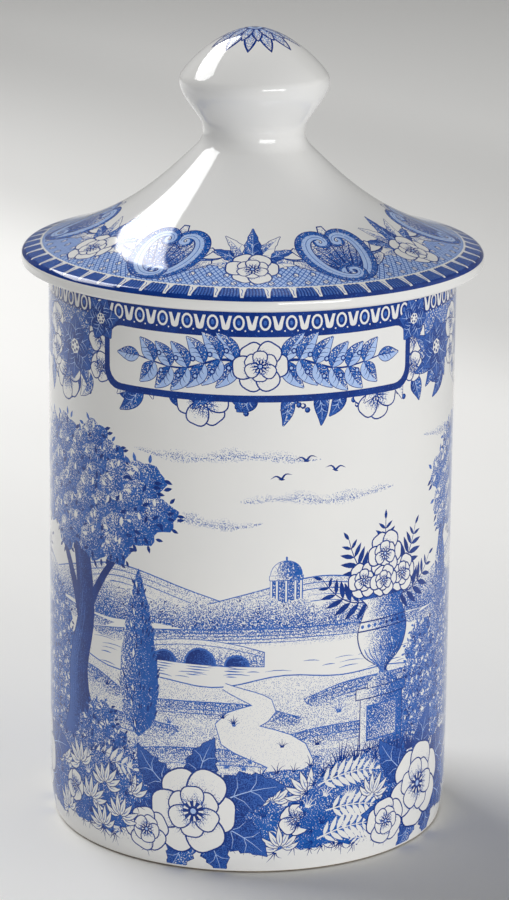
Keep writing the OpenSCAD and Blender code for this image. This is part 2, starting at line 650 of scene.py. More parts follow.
    def fan(self, spot: Spot, reach: float, blades: int, spread: float) -> None:
        """Draw a spray of bare blades with deep edges.

        Args:
            spot: Its root, with the spray pointing up.
            reach: Length of its longest blade.
            blades: Number of blades.
            spread: Angle between its outer blades.
        """
        share = steps(6)
        order = sorted(range(blades), key=lambda k: -abs(k - (blades - 1) / 2))
        for k in order:
            lean = (k / (blades - 1) - 0.5) * spread
            length = reach * (1 - 0.12 * abs(lean)) * self.dice.uniform(0.9, 1.05)
            put = spot.at(0, 0, math.pi / 2 - lean)
            path = bow((0.1 * reach, 0), (length, 0), -0.08 * lean * length, 6)
            full = 0.22 * reach * np.sin(np.pi * share**0.8)
            self.sheet.line(path, full + 0.3, Tone.DEEP, put)
            self.sheet.line(path, full, Tone.GLAZE, put)
            self.sheet.line(path[1:4], np.array([0.16, 0.12, 0.04]), Tone.MID, put)

    def frond(self, spot: Spot, length: float, pairs: int, tone: Tone, curl: float) -> None:
        """Draw a fern frond.

        Args:
            spot: Where its stem starts.
            length: Its length.
            pairs: Pairs of leaflets.
            tone: Its tone.
            curl: Share of its length by which it bends.
        """
        stem = bow((0, 0), (length, 0), curl * length, 2 * pairs + 3)
        way = np.gradient(stem, axis=0)
        self.sheet.line(stem, np.linspace(0.26, 0.1, len(stem)), tone, spot)
        for k in range(1, pairs + 1):
            base = stem[2 * k]
            heading = math.atan2(way[2 * k, 1], way[2 * k, 0])
            reach = 0.3 * length * math.sin(math.pi * (0.2 + 0.72 * k / (pairs + 1)))
            for side in (1, -1):
                self.lens(spot.at(base[0], base[1], heading + side * 0.9), reach, 0.26 * reach + 0.08, tone)
        self.lens(spot.at(stem[-1, 0], stem[-1, 1]), 0.14 * length, 0.05 * length, tone)

    def tuft(self, spot: Spot, height: float, blades: int, tone: Tone, spread: float = 1.9) -> None:
        """Draw a tuft of grass.

        Args:
            spot: Its root.
            height: Its height.
            blades: Number of blades.
            tone: Its tone.
            spread: Angle between its outer blades.
        """
        for k in range(blades):
            lean = (k / max(blades - 1, 1) - 0.5) * spread + self.dice.uniform(-0.1, 0.1)
            reach = height * self.dice.uniform(0.75, 1.1) * (1 - 0.25 * abs(lean))
            tip = (reach * math.sin(lean), reach * math.cos(lean))
            path = bow((0.05 * height * (k - blades / 2), 0), tip, lean * reach * 0.16, 5)
            self.sheet.line(path, np.linspace(0.07 * height + 0.06, 0.04, 5), tone, spot)

    def clump(self, spot: Spot, radius: float, light: float = 0.35) -> None:
        """Draw a rounded clump of small leaves, light at its upper left.

        Args:
            spot: Its middle.
            radius: Its radius.
            light: Share of ink where the light falls.
        """
        turn = np.linspace(0, math.tau, 20, endpoint=False)
        edge = radius * (1 + 0.1 * np.cos(6 * turn + self.dice.uniform(0, 6)) + 0.06 * np.sin(4 * turn))
        outline = np.column_stack([edge * np.cos(turn), 0.82 * edge * np.sin(turn)])
        fade = Fade((-0.7 * radius, 0.6 * radius), (0.6 * radius, -0.6 * radius), light, 1.0)
        self.sheet.fill(outline, Tone.STIPPLE, spot, fade)
        for ring, count in ((0.98, 9), (0.5, 6)):
            for k in range(count):
                at = math.tau * (k + self.dice.random()) / count
                bright = math.cos(at - 2.2) * ring + self.dice.uniform(-0.2, 0.2)
                tone = Tone.GLAZE if bright > 0.2 and ring < 0.9 else Tone.MID if bright > 0.3 else Tone.DEEP
                x, y = ring * radius * math.cos(at), 0.82 * ring * radius * math.sin(at)
                put = spot.at(x, y, at + self.dice.uniform(-0.7, 0.7))
                self.lens(put, 0.34 * radius + 0.2, 0.14 * radius + 0.12, tone)

    def shrub(self, spot: Spot, width: float, height: float) -> None:
        """Draw a dense shrub of overlapping clumps.

        Args:
            spot: The middle of its foot.
            width: Its width.
            height: Its height.
        """
        rows = max(2, int(height / 3.0))
        for row in range(rows):
            up = 1 - row / (rows - 1)
            half = width / 2 * math.sqrt(1 - 0.9 * up * up)
            count = int(half / 1.5) + 1
            for k in range(count):
                x = (2 * (k + 0.5) / count - 1) * half + self.dice.uniform(-0.5, 0.5)
                y = up * (height - 2.5) + self.dice.uniform(0.6, 1.8)
                self.clump(spot.at(x, y), self.dice.uniform(1.9, 2.7), 0.5)

    def cloud(self, spot: Spot, width: float, height: float) -> None:
        """Draw a long stippled bank of cloud.

        Args:
            spot: Its middle.
            width: Its width.
            height: Its height.
        """
        share = steps(25)
        middle = np.column_stack([(share - 0.5) * width, 0.4 * np.sin(9 * share + spot.x)])
        lumps = np.sin(np.pi * share) ** 0.6 * (0.75 + 0.25 * np.sin(23 * share + spot.x)) * height / 2
        upper = middle + np.column_stack([0 * share, lumps + 0.05])
        lower = middle - np.column_stack([0 * share, 0.7 * lumps + 0.05])
        full = 0.3
        self.sheet.fill(between(upper, middle), Tone.STIPPLE, spot, Fall(upper, height / 2, 0.05, full))
        self.sheet.fill(between(middle, lower), Tone.STIPPLE, spot, Fall(middle, height / 3, full, 0.0))

    def rise(self, places: list[Place], depth: float, share: float, rest: float = 0.0) -> None:
        """Draw a swell of ground: a line above a tone that fades downwards.

        Args:
            places: Places along its top, from left to right.
            depth: How far down the tone reaches.
            share: Share of ink along the top.
            rest: Share of ink at the bottom.
        """
        top = through(places, 9 * len(places))
        swell = np.sin(np.pi * steps(len(top)))
        below = top - np.column_stack([0 * swell, depth * swell**0.5 + 0.02])
        self.sheet.fill(between(top, below), Tone.STIPPLE, ink=Fall(top, depth, share, rest))
        self.sheet.line(top, 0.2 * swell**0.4 + 0.02, Tone.MID)
        for k in range(1, 5):
            first = self.dice.randint(2, len(top) // 2)
            last = self.dice.randint(len(top) // 2 + 3, len(top) - 2)
            line = (top - (0, 0.17 * depth * k))[first:last]
            self.sheet.line(line, 0.17 * np.sin(np.pi * (0.06 + 0.88 * steps(len(line)))), Tone.MID)

    def hedge(self, left: float, right: float, low: float, height: float) -> None:
        """Draw a line of distant trees.

        Args:
            left: Its left end.
            right: Its right end.
            low: Its lower edge.
            height: Its height.
        """
        x = np.linspace(left, right, int((right - left) / 0.8))
        lumps = 0.7 + 0.2 * np.abs(np.sin(0.55 * x)) + 0.12 * np.sin(0.21 * x + 1)
        top = np.column_stack([x, low + height * lumps])
        base = np.column_stack([x, low + 0.4 * np.sin(0.3 * x)])
        self.sheet.fill(between(top, base), Tone.STIPPLE, ink=Fall(top, height, 0.22, 0.72))
        leaves_per_mm = 1.5
        for _ in range(int((right - left) * leaves_per_mm)):
            at = self.dice.uniform(left, right)
            rise = self.dice.random()
            y = low + height * np.interp(at, x, lumps) * rise
            tone = Tone.GLAZE if rise > 0.45 and self.dice.random() < 0.5 else Tone.DEEP
            self.lens(Spot(at, y, self.dice.uniform(0, math.pi)), 0.55, 0.24, tone)

    def hatching(
        self, area: tuple[float, float, float, float], pitch: float, dash: float, share: float
    ) -> None:
        """Draw rows of broken, slightly bowed lines, as on open ground or water.

        Args:
            area: Left, lower, right and upper edge.
            pitch: Height from row to row.
            dash: Usual length of a line.
            share: Share of the lines that are drawn.
        """
        left, low, right, high = area
        for row in np.arange(low, high, pitch):
            x = left - self.dice.uniform(0, dash)
            while x < right:
                length = dash * self.dice.uniform(0.5, 1.4)
                if self.dice.random() < share:
                    y = row + self.dice.uniform(-0.3, 0.3) * pitch
                    path = bow((x, y), (x + length, y + self.dice.uniform(-0.2, 0.2)), 0.05 * length, 4)
                    width = self.dice.uniform(0.1, 0.2) * np.sin(np.pi * (0.08 + 0.84 * steps(4)))
                    self.sheet.line(path, width, Tone.MID)
                x += length + dash * self.dice.uniform(0.15, 0.8)

    def tree(self, spot: Spot, height: float, spread: float, clumps: int) -> None:
        """Draw an old tree with a stout trunk and a crown of clumps.

        Args:
            spot: The foot of its trunk.
            height: Its height.
            spread: Width of its crown.
            clumps: Number of clumps in the crown.
        """
        count = 18
        trunk = through([(0, 0), (-0.03 * height, 0.22 * height), (0.02 * height, 0.45 * height),
                         (-0.02 * height, 0.78 * height)], count)
        thick = height * np.linspace(0.135, 0.05, count)
        thick[:4] *= (2.2, 1.6, 1.25, 1.08)
        limbs = ((0.45, 0.42, 0.74), (0.55, -0.45, 0.8), (0.62, 0.25, 0.95), (0.5, -0.25, 0.92))
        for share, to_x, to_y in limbs:
            root = trunk[int(share * (count - 1))]
            limb = bow(tuple(root), (to_x * spread, to_y * height), 0.05 * height * np.sign(to_x), 8)
            self.sheet.line(limb, np.linspace(0.045, 0.012, 8) * height, Tone.DEEP, spot)
        self.sheet.line(trunk, thick + 0.26, Tone.DEEP, spot)
        grade = sideways(-0.08 * height, 0.06 * height, 0.0, 1.0)
        self.sheet.fill(ribbon(trunk, thick), Tone.SHADE, spot, grade)
        for share in steps(9):
            aside = share * 0.86 - 0.45
            first, last = self.dice.randint(0, 5), self.dice.randint(9, count - 1)
            path = (trunk + left_of(trunk) * (thick * aside)[:, None])[first:last]
            self.sheet.line(path, 0.14, Tone.DEEP if aside < 0 else Tone.MID, spot)
        places = []
        golden = 2.399
        for k in range(clumps):
            at, out = golden * k, math.sqrt((k + 0.5) / clumps)
            places.append((out * math.cos(at) * spread / 2, height * (0.82 + 0.2 * out * math.sin(at))))
        for x, y in sorted(places, key=lambda place: -place[1]):
            self.clump(spot.at(x, y), height * self.dice.uniform(0.055, 0.08))

    def cypress(self, spot: Spot, height: float) -> None:
        """Draw a slim, upright tree.

        Args:
            spot: Its foot.
            height: Its height.
        """
        share = steps(15)
        path = np.column_stack([0 * share, height * share])
        full = 0.26 * height * np.sin(np.pi * share**0.62) ** 0.8 * (1 + 0.08 * np.cos(40 * share))
        grade = sideways(-0.1 * height, 0.08 * height, 0.5, 1.0)
        self.sheet.fill(ribbon(path, full), Tone.STIPPLE, spot, grade)
        sprigs = 60
        for k in range(sprigs):
            up = self.dice.uniform(0.02, 0.92)
            aside = self.dice.uniform(-0.5, 0.5)
            x = aside * np.interp(up, share, full)
            tone = Tone.GLAZE if aside < -0.12 and k % 2 else Tone.DEEP
            self.lens(spot.at(x, up * height, math.pi / 2 - aside), 1.3, 0.32, tone)

    def bird(self, spot: Spot) -> None:
        """Draw a small bird on the wing.

        Args:
            spot: Its middle.
        """
        for side in (1, -1):
            wing = through([(0, 0), (side * 0.9, 0.75), (side * 2.1, 0.35)], 7)
            self.sheet.line(wing, np.array([0.4, 0.38, 0.33, 0.26, 0.2, 0.12, 0.03]), Tone.DEEP, spot)
        self.lens(spot.at(0.6, -0.2, math.pi * 0.94), 1.3, 0.36, Tone.DEEP)

    def scroll(self, spot: Spot, length: float, first: float, last: float, width: float) -> None:
        """Draw a ribbon scroll whose two ends roll up.

        Args:
            spot: Its middle, with the ribbon running along.
            length: Length of the ribbon.
            first: Angle through which its first end rolls.
            last: Angle through which its last end rolls.
            width: Greatest width.
        """
        share = steps(52)
        bend = 6 * first * (1 - share) ** 5 + 6 * last * share**5
        heading = np.cumsum(bend) / len(share)
        heading -= heading[len(share) // 2]
        path = np.cumsum(np.column_stack([np.cos(heading), np.sin(heading)]), axis=0) * length / len(share)
        path -= path[len(share) // 2]
        left = left_of(path)
        thick = width * (0.3 + 0.7 * np.sin(np.pi * share))
        self.sheet.line(path, thick + 0.36, Tone.DEEP, spot)
        self.sheet.line(path, thick, Tone.PALE, spot)
        outer = path - left * (thick * 0.3)[:, None]
        self.sheet.fill(ribbon(outer, thick * 0.4), Tone.STIPPLE, spot, even(0.85))
        inner = path + left * (thick * 0.2)[:, None]
        self.sheet.line(inner[6:-6], 0.12, Tone.MID, spot)
        for k in range(9, 44, 2):
            side = left[k] * thick[k]
            tick = bow(tuple(path[k] - side * 0.48), tuple(path[k] + side * 0.02), 0.0, 3)
            self.sheet.line(tick, np.array([0.18, 0.13, 0.05]), Tone.DEEP, spot)

    def urn(self, spot: Spot) -> None:
        """Draw a stone urn of flowers on a pedestal.

        Args:
            spot: The middle of the pedestal's foot.
        """
        edge = 0.15
        grade = sideways(-3.6, 3.4, 0.12, 0.95)
        for half, low, high in ((4.6, 0, 1.6), (3.8, 1.6, 9.0), (4.5, 9.0, 10.4)):
            self.sheet.fill(block(-half - edge, low - edge, half + edge, high + edge), Tone.DEEP, spot)
            self.sheet.fill(block(-half, low, half, high), Tone.STIPPLE, spot, grade)
        for inset, tone in ((0.0, Tone.MID), (0.22, Tone.STIPPLE)):
            panel = block(-2.8 + inset, 2.7 + inset, 2.8 - inset, 7.9 - inset)
            self.sheet.fill(panel, tone, spot, Fade((-2.8, 8), (2.8, 2), 0.75, 0.3))
        for k in range(5):
            put = spot.at(0, 23.5, math.pi / 2 + (k - 2) * 0.62)
            self.frond(put, 10.5, 7, Tone.DEEP, 0.1 * (k - 2))
        profile = through([(2.6, 10.4), (2.5, 11.2), (0.9, 12.2), (0.9, 13.2), (3.4, 15.2), (4.4, 18.2),
                           (3.5, 21.2), (2.9, 22.2), (4.2, 23.6)], 40)
        bowl = between(profile, profile * (-1, 1))
        self.sheet.fill(bowl * (1.04, 1.0) + (0, -0.1), Tone.DEEP, spot)
        self.sheet.fill(bowl, Tone.STIPPLE, spot, sideways(-3.6, 3.6, 0.0, 1.0))
        for share in (-0.85, -0.66, -0.42, -0.14, 0.14, 0.42, 0.66, 0.85):
            flute = profile[10:22] * (share, 1)
            self.sheet.line(flute, 0.16, Tone.MID if share < 0.3 else Tone.DEEP, spot)
        for y in (18.6, 19.9):
            self.sheet.fill(block(-4.35, y, 4.35, y + 0.2), Tone.DEEP, spot)
        for k in range(8):
            self.sheet.dot(-3.7 + 1.05 * k, 19.35, 0.28, Tone.MID if k < 4 else Tone.DEEP, spot)
        self.sheet.fill(block(-4.3, 23.2, 4.3, 24.1, 0.3), Tone.SHADE, spot, sideways(-4, 4, 0.0, 1.0))
        for x, y, radius in ((-3.6, 26.0, 2.6), (3.4, 25.8, 2.7), (0, 29.2, 3.1), (-0.2, 25.4, 2.3)):
            self.blossom(spot.at(x, y), radius, 6)

    def temple(self, spot: Spot) -> None:
        """Draw a round garden temple.

        Args:
            spot: The middle of its lowest step.
        """
        across = sideways(-4, 4, 0.0, 0.8)
        for half, low, high in ((5.4, 0, 0.7), (4.8, 0.7, 1.4), (4.3, 7.0, 8.3)):
            self.sheet.fill(block(-half, low, half, high), Tone.MID, spot)
            face = block(-half + 0.15, low + 0.13, half - 0.15, high - 0.1)
            self.sheet.fill(face, Tone.STIPPLE, spot, across)
        self.sheet.fill(block(-3.9, 1.4, 3.9, 7.0), Tone.STIPPLE, spot, even(0.6))
        for x in (-3.7, -2.3, 0, 2.3, 3.7):
            self.sheet.fill(block(x - 0.42, 1.4, x + 0.42, 7.0), Tone.MID, spot)
            self.sheet.fill(block(x - 0.3, 1.5, x + 0.12, 6.9), Tone.GLAZE, spot)
        turn = steps(13) * math.pi
        dome = np.column_stack([3.9 * np.cos(turn), 8.3 + 3.7 * np.sin(turn)])
        self.sheet.fill(dome * (1.04, 1.012), Tone.MID, spot)
        self.sheet.fill(dome, Tone.STIPPLE, spot, sideways(-3.4, 3.6, 0.05, 1.0))
        for share in (-0.6, -0.2, 0.3, 0.65):
            self.sheet.line(dome[1:7] * (share, 1), 0.12, Tone.MID, spot)
        self.sheet.fill(block(-0.25, 11.9, 0.25, 13.1, 0.2), Tone.MID, spot)

    def bridge(self, spot: Spot) -> None:
        """Draw a stone bridge of three arches with its reflection.

        Args:
            spot: The middle of the bridge at the water.
        """
        share = steps(21) * 2 - 1
        deck = np.column_stack([11.5 * share, 4.6 - 1.9 * share**2])
        self.sheet.fill(np.concatenate([deck + (0, 0.14), [(11.5, 0), (-11.5, 0)]]), Tone.MID, spot)
        wall = np.concatenate([deck * (0.985, 1), [(11.3, 0.1), (-11.3, 0.1)]])
        self.sheet.fill(wall, Tone.STIPPLE, spot, Fade((0, 4.6), (0, 0), 0.05, 0.5))
        self.sheet.line(deck - (0, 0.9), 0.14, Tone.MID, spot)
        turn = steps(9) * math.pi
        arch = np.column_stack([np.cos(turn), np.sin(turn)])
        for x, half, high in ((-6.6, 2.0, 1.9), (0, 2.7, 2.9), (6.6, 2.0, 1.9)):
            self.sheet.fill(arch * (half + 0.35, high + 0.35) + (x, 0), Tone.MID, spot)
            grade = sideways(x - half, x + half, 1, 0.2)
            self.sheet.fill(arch * (half, high) + (x, 0), Tone.SHADE, spot, grade)
            for k in range(4):
                self.lens(spot.at(x - half, -0.4 - 0.5 * k), 2 * half * (1 - 0.15 * k), 0.22, Tone.MID)


# Turned pieces


@dataclass
class Stretch:
    """One stretch of a turned piece's outline, as radius and height in millimetres."""

    points: list[Place]
    tone: Tone = Tone.GLAZE
    crisp: bool = False
    sheet: PrintSheet | None = None
    by_height: bool = False

    def runs(self) -> np.ndarray:
        """Measure how far along the stretch each of its points lies.

        Returns:
            The length along the outline, or the height where the stretch is upright.
        """
        at = np.array(self.points)
        if self.by_height:
            return at[:, 1]
        return np.concatenate([[0.0], np.cumsum(np.linalg.norm(np.diff(at, axis=0), axis=1))])

    def radius_at(self, run: np.ndarray) -> np.ndarray:
        """Give the radius at a run."""
        return np.interp(run, self.runs(), np.array(self.points)[:, 0])

    def run_at(self, radius: np.ndarray) -> np.ndarray:
        """Give the run at a radius, on a stretch that closes towards the axis."""
        return np.interp(-radius, -np.array(self.points)[:, 0], self.runs())


@dataclass(frozen=True)
class FlareSpot(Spot):
    """A spot on a sloping stretch, where up leads along the slope."""

    stretch: Stretch | None = None
    angle: float = 0.0
    run: float = 0.0

    def place(self, points: Points) -> Points:
        """Carry points to the sheet so that they keep their shape on the slope.

        Args:
            points: Points of the motif.

        Returns:
            The same points on the sheet.
        """
        moved = super().place(points)
        run = self.run + moved[:, 1]
        turn = self.angle + moved[:, 0] / self.stretch.radius_at(run)
        return np.column_stack([self.stretch.sheet.span * turn / math.tau, run])


@dataclass(frozen=True)
class CrownSpot(Spot):
    """A spot on a crown, where across leads outwards from the axis."""

    stretch: Stretch | None = None
    angle: float = 0.0

    def place(self, points: Points) -> Points:
        """Carry points, measured from the axis, to the sheet.

        Args:
            points: Points of the motif.

        Returns:
            The same points on the sheet.
        """
        moved = super().place(points)
        turn = self.angle + np.arctan2(moved[:, 1], moved[:, 0])
        run = self.stretch.run_at(np.hypot(moved[:, 0], moved[:, 1]))
        return np.column_stack([self.stretch.sheet.span * turn / math.tau, run])


@dataclass
class Turning:
    """A piece turned about the jar's axis, with print on some of its stretches."""

    name: str
    stretches: list[Stretch]
    columns: int = 120

    def edge_normals(self) -> list[np.ndarray]:
        """Find the outward way at both ends of every part of the outline.

        Returns:
            For each stretch, an array of the start and end normal of each part.
        """
        parts = []
        for stretch in self.stretches:
            run = np.diff(np.array(stretch.points), axis=0)
            parts.append(np.column_stack([run[:, 1], -run[:, 0]]))
        whole = np.concatenate(parts)
        blended = np.stack([whole, whole], axis=1)
        crisp = set(np.cumsum([0] + [len(part) for part in parts])[:-1][[s.crisp for s in self.stretches]])
        for k in range(1, len(whole)):
            if k not in crisp:
                blended[k - 1, 1] = blended[k, 0] = whole[k - 1] + whole[k]
        blended /= np.linalg.norm(blended, axis=2, keepdims=True)
        return np.split(blended, np.cumsum([len(part) for part in parts])[:-1])

    def lift(self, flat: Points, stretch: Stretch, normals: np.ndarray) -> tuple[Points, Points]:
        """Carry flat points to the turned surface.

        Args:
            flat: Angle and run of each point.
            stretch: The stretch they lie on.
            normals: Its normals, from edge_normals.

        Returns:
            The points and the normals there.
        """
        runs, outline = stretch.runs(), np.array(stretch.points)
        column = np.clip((flat[:, 0] + math.pi) / math.tau, 0, 1) * self.columns
        near = np.minimum(column.astype(int), self.columns - 1)
        part = np.clip(np.searchsorted(runs, flat[:, 1], side="right") - 1, 0, len(runs) - 2)
        share = np.clip((flat[:, 1] - runs[part]) / (runs[part + 1] - runs[part]), 0, 1)[:, None]
        radius, height = (outline[part] * (1 - share) + outline[part + 1] * share).T
        low = near * math.tau / self.columns - math.pi
        high = low + math.tau / self.columns
        aside = column - near
        x = radius * ((1 - aside) * np.sin(low) + aside * np.sin(high))
        y = -radius * ((1 - aside) * np.cos(low) + aside * np.cos(high))
        out = normals[part, 0] * (1 - share) + normals[part, 1] * share
        facing = np.column_stack([out[:, 0] * np.sin(flat[:, 0]), -out[:, 0] * np.cos(flat[:, 0]), out[:, 1]])
        return np.column_stack([x, y, height]), facing / np.linalg.norm(facing, axis=1, keepdims=True)

    def cut(self, stretch: Stretch) -> tuple[Points, np.ndarray, np.ndarray, np.ndarray]:
        """Cut one stretch into faces.

        Args:
            stretch: The stretch.

        Returns:
            Angle and run of its points, its faces, the tone of each face and the ink at each corner.
        """
        runs = stretch.runs()
        if stretch.sheet:
            flat, faces, tones, shares = stretch.sheet.cut(runs, self.columns)
            return flat * (math.tau / stretch.sheet.span, 1), faces, tones, shares
        wide = self.columns + 1
        turn = np.linspace(-math.pi, math.pi, wide)
        flat = np.array([(a, b) for b in runs for a in turn])
        first = (np.arange(len(runs) - 1)[:, None] * wide + np.arange(self.columns)).ravel()
        faces = np.column_stack([first, first + 1, first + 1 + wide, first + wide])
        return flat, faces, np.full(len(faces), int(stretch.tone)), np.zeros(faces.shape)

    def build(self, materials: list[bpy.types.Material]) -> bpy.types.Object:
        """Make the piece.

        Args:
            materials: One material for each tone.

        Returns:
            The new object.
        """
        points, faces, facing, unwrapped, tones, inks = [], [], [], [], [], []
        total = sum(abs(stretch.runs()[-1] - stretch.runs()[0]) for stretch in self.stretches)
        done, count = 0.0, 0
        for stretch, normals in zip(self.stretches, self.edge_normals()):
            flat, corners, tone, shares = self.cut(stretch)
            start = stretch.runs()[0]
            points.append(self.lift(flat, stretch, normals)[0] * MM)
            each = flat[corners.ravel()]
            facing.append(self.lift(each, stretch, normals)[1])
            up = (done + each[:, 1] - start) / total
            unwrapped.append(np.column_stack([each[:, 0] / math.tau + 0.5, up]))
            faces += (corners + count).tolist()
            tones.append(tone)
            inks.append(shares.ravel())
            done += stretch.runs()[-1] - start
            count += len(flat)
        mesh = bpy.data.meshes.new(self.name)
        mesh.from_pydata(np.concatenate(points), [], faces)
        mesh.polygons.foreach_set("material_index", np.concatenate(tones).astype(np.int32))
        bake = mesh.uv_layers.new(name="OFBake")
        bake.uv.foreach_set("vector", np.concatenate(unwrapped).astype(np.float32).ravel())
        outward = mesh.attributes.new("outward", "FLOAT_VECTOR", "CORNER")
        outward.data.foreach_set("vector", np.concatenate(facing).astype(np.float32).ravel())
        ink = mesh.attributes.new("ink", "FLOAT", "CORNER")
        ink.data.foreach_set("value", np.concatenate(inks).astype(np.float32))
        return self.weld(mesh, materials)

    def weld(self, mesh: bpy.types.Mesh, materials: list[bpy.types.Material]) -> bpy.types.Object:
        """Join the stretches of a new mesh and give it its smooth shading.

        Args:
            mesh: The mesh, with every stretch apart.
            materials: One material for each tone.

        Returns:
            The new object.
        """
        work = bmesh.new()
        work.from_mesh(mesh)
        bmesh.ops.delete(work, geom=[vert for vert in work.verts if not vert.link_faces], context="VERTS")
        bmesh.ops.remove_doubles(work, verts=work.verts, dist=WELD_GAP)
        work.to_mesh(mesh)
        work.free()
        facing = np.empty(len(mesh.loops) * 3, np.float32)
        mesh.attributes["outward"].data.foreach_get("vector", facing)
        mesh.attributes.remove(mesh.attributes["outward"])
        mesh.normals_split_custom_set(facing.reshape(-1, 3).tolist())
        for material in materials:
            mesh.materials.append(material)
        piece = bpy.data.objects.new(self.name, mesh)
        bpy.context.scene.collection.objects.link(piece)
        log.info("%s: %d faces", self.name, len(mesh.polygons))
        return piece


def arc(middle: Place, radius: float, first: float, last: float, count: int) -> list[Place]:
    """Give points on an arc of an outline.

    Args:
        middle: Its centre.
        radius: Its radius.
        first: First angle in degrees.
        last: Last angle in degrees.
        count: Number of points.

    Returns:
        The points, both ends included.
    """
    turn = np.radians(np.linspace(first, last, count))
    return [(middle[0] + radius * math.cos(a), middle[1] + radius * math.sin(a)) for a in turn]


def bezier(ends: tuple[Place, Place, Place, Place], count: int) -> list[Place]:
    """Give points on a cubic curve of an outline.

    Args:
        ends: Start, two guides and end.
        count: Number of points.

    Returns:
        The points, both ends included.
    """
    a, b, c, d = (np.array(place) for place in ends)
    curve = []
    for t in steps(count):
        curve.append(tuple(a * (1 - t)**3 + 3 * b * t * (1 - t)**2 + 3 * c * t**2 * (1 - t) + d * t**3))
    return curve


# Finishes

WHITE_GLAZE = (0.825, 0.82, 0.8, 1)


def new_group(name: str, inputs: dict[str, str], outputs: dict[str, str]) -> bpy.types.NodeTree:
    """Start a shader node group.

    Args:
        name: Its name.
        inputs: Socket type of each named input.
        outputs: Socket type of each named output.

    Returns:
        The group, with its input and output nodes.
    """
    tree = bpy.data.node_groups.new(name, "ShaderNodeTree")
    for socket, kind in inputs.items():
        tree.interface.new_socket(socket, in_out="INPUT", socket_type=kind)
    for socket, kind in outputs.items():
        tree.interface.new_socket(socket, in_out="OUTPUT", socket_type=kind)
    tree.nodes.new("NodeGroupInput").name = "in"
    tree.nodes.new("NodeGroupOutput").name = "out"
    return tree


def add_node(
    tree: bpy.types.NodeTree, kind: str, values: Values | None = None, group: bpy.types.NodeTree | None = None
) -> bpy.types.Node:
    """Add a node and set some of its inputs.

    Args:
        tree: The tree it goes into.
        kind: Its type.
        values: Value of each input that is set.
        group: The node group that it stands for, if it is one.

    Returns:
        The new node.
    """
    node = tree.nodes.new(kind)
    if group:
        node.node_tree = group
    for socket, value in (values or {}).items():
        node.inputs[socket].default_value = value
    return node


def join(tree: bpy.types.NodeTree, *links: tuple[bpy.types.NodeSocket, bpy.types.NodeSocket]) -> None:
    """Link sockets, each time an output to an input."""
    for output, target in links:
        tree.links.new(output, target)


def grain_node(tree: bpy.types.NodeTree, kind: str, values: Values | None = None) -> bpy.types.Node:
    """Add a texture in the object's own space, at the group's Scale.

    Args:
        tree: The group.
        kind: The texture's type.
        values: Value of each input that is set.

    Returns:
        The texture node.
    """
    where = add_node(tree, "ShaderNodeTexCoord")
    grain = add_node(tree, kind, values)
    join(
        tree,
        (where.outputs["Object"], grain.inputs["Vector"]),
        (tree.nodes["in"].outputs["Scale"], grain.inputs["Scale"]),
    )
    return grain


@cache
def kiln_mottle() -> bpy.types.NodeTree:
    """Build the slow drift of colour that firing leaves.

    Returns:
        The group, with a colour and the mask that drove it.
    """
    inputs = {"Color": "NodeSocketColor", "Drift": "NodeSocketColor", "Scale": "NodeSocketFloat"}
    tree = new_group("kiln mottle", inputs, {"Color": "NodeSocketColor", "Mask": "NodeSocketFloat"})
    grain = grain_node(tree, "ShaderNodeTexNoise", {"Detail": 3.0})
    spread = add_node(tree, "ShaderNodeMapRange", {"From Min": 0.35, "From Max": 0.68})
    blend = add_node(tree, "ShaderNodeMix")
    blend.data_type = "RGBA"
    join(
        tree,
        (grain.outputs["Fac"], spread.inputs["Value"]),
        (spread.outputs["Result"], blend.inputs["Factor"]),
        (tree.nodes["in"].outputs["Color"], blend.inputs["A"]),
        (tree.nodes["in"].outputs["Drift"], blend.inputs["B"]),
        (blend.outputs["Result"], tree.nodes["out"].inputs["Color"]),
        (spread.outputs["Result"], tree.nodes["out"].inputs["Mask"]),
    )
    return tree


@cache
def print_stipple() -> bpy.types.NodeTree:
    """Build the dots of a stippled plate, which grow with the share of ink.

    Returns:
        The group, with a mask that is 1 where ink lies.
    """
    inputs = {"Share": "NodeSocketFloat", "Scale": "NodeSocketFloat"}
    tree = new_group("print stipple", inputs, {"Mask": "NodeSocketFloat"})
    dots = grain_node(tree, "ShaderNodeTexVoronoi")
    edge = 0.07
    spread = add_node(tree, "ShaderNodeMath", {1: 0.44})
    spread.operation = "POWER"
    reach = add_node(tree, "ShaderNodeMapRange", {"To Min": -edge, "To Max": 0.86})
    past = add_node(tree, "ShaderNodeMath")
    past.operation = "SUBTRACT"
    soft = add_node(tree, "ShaderNodeMapRange", {"From Min": -edge, "From Max": edge})
    join(
        tree,
        (tree.nodes["in"].outputs["Share"], spread.inputs[0]),
        (spread.outputs["Value"], reach.inputs["Value"]),
        (reach.outputs["Result"], past.inputs[0]),
        (dots.outputs["Distance"], past.inputs[1]),
        (past.outputs["Value"], soft.inputs["Value"]),
        (soft.outputs["Result"], tree.nodes["out"].inputs["Mask"]),
    )
    return tree


@cache
def glaze_ripple() -> bpy.types.NodeTree:
    """Build the faint unevenness of a dipped glaze.

    Returns:
        The group, with a height.
    """
    tree = new_group("glaze ripple", {"Scale": "NodeSocketFloat"}, {"Height": "NodeSocketFloat"})
    grain = grain_node(tree, "ShaderNodeTexNoise", {"Detail": 1.5})
    join(tree, (grain.outputs["Fac"], tree.nodes["out"].inputs["Height"]))
    return tree


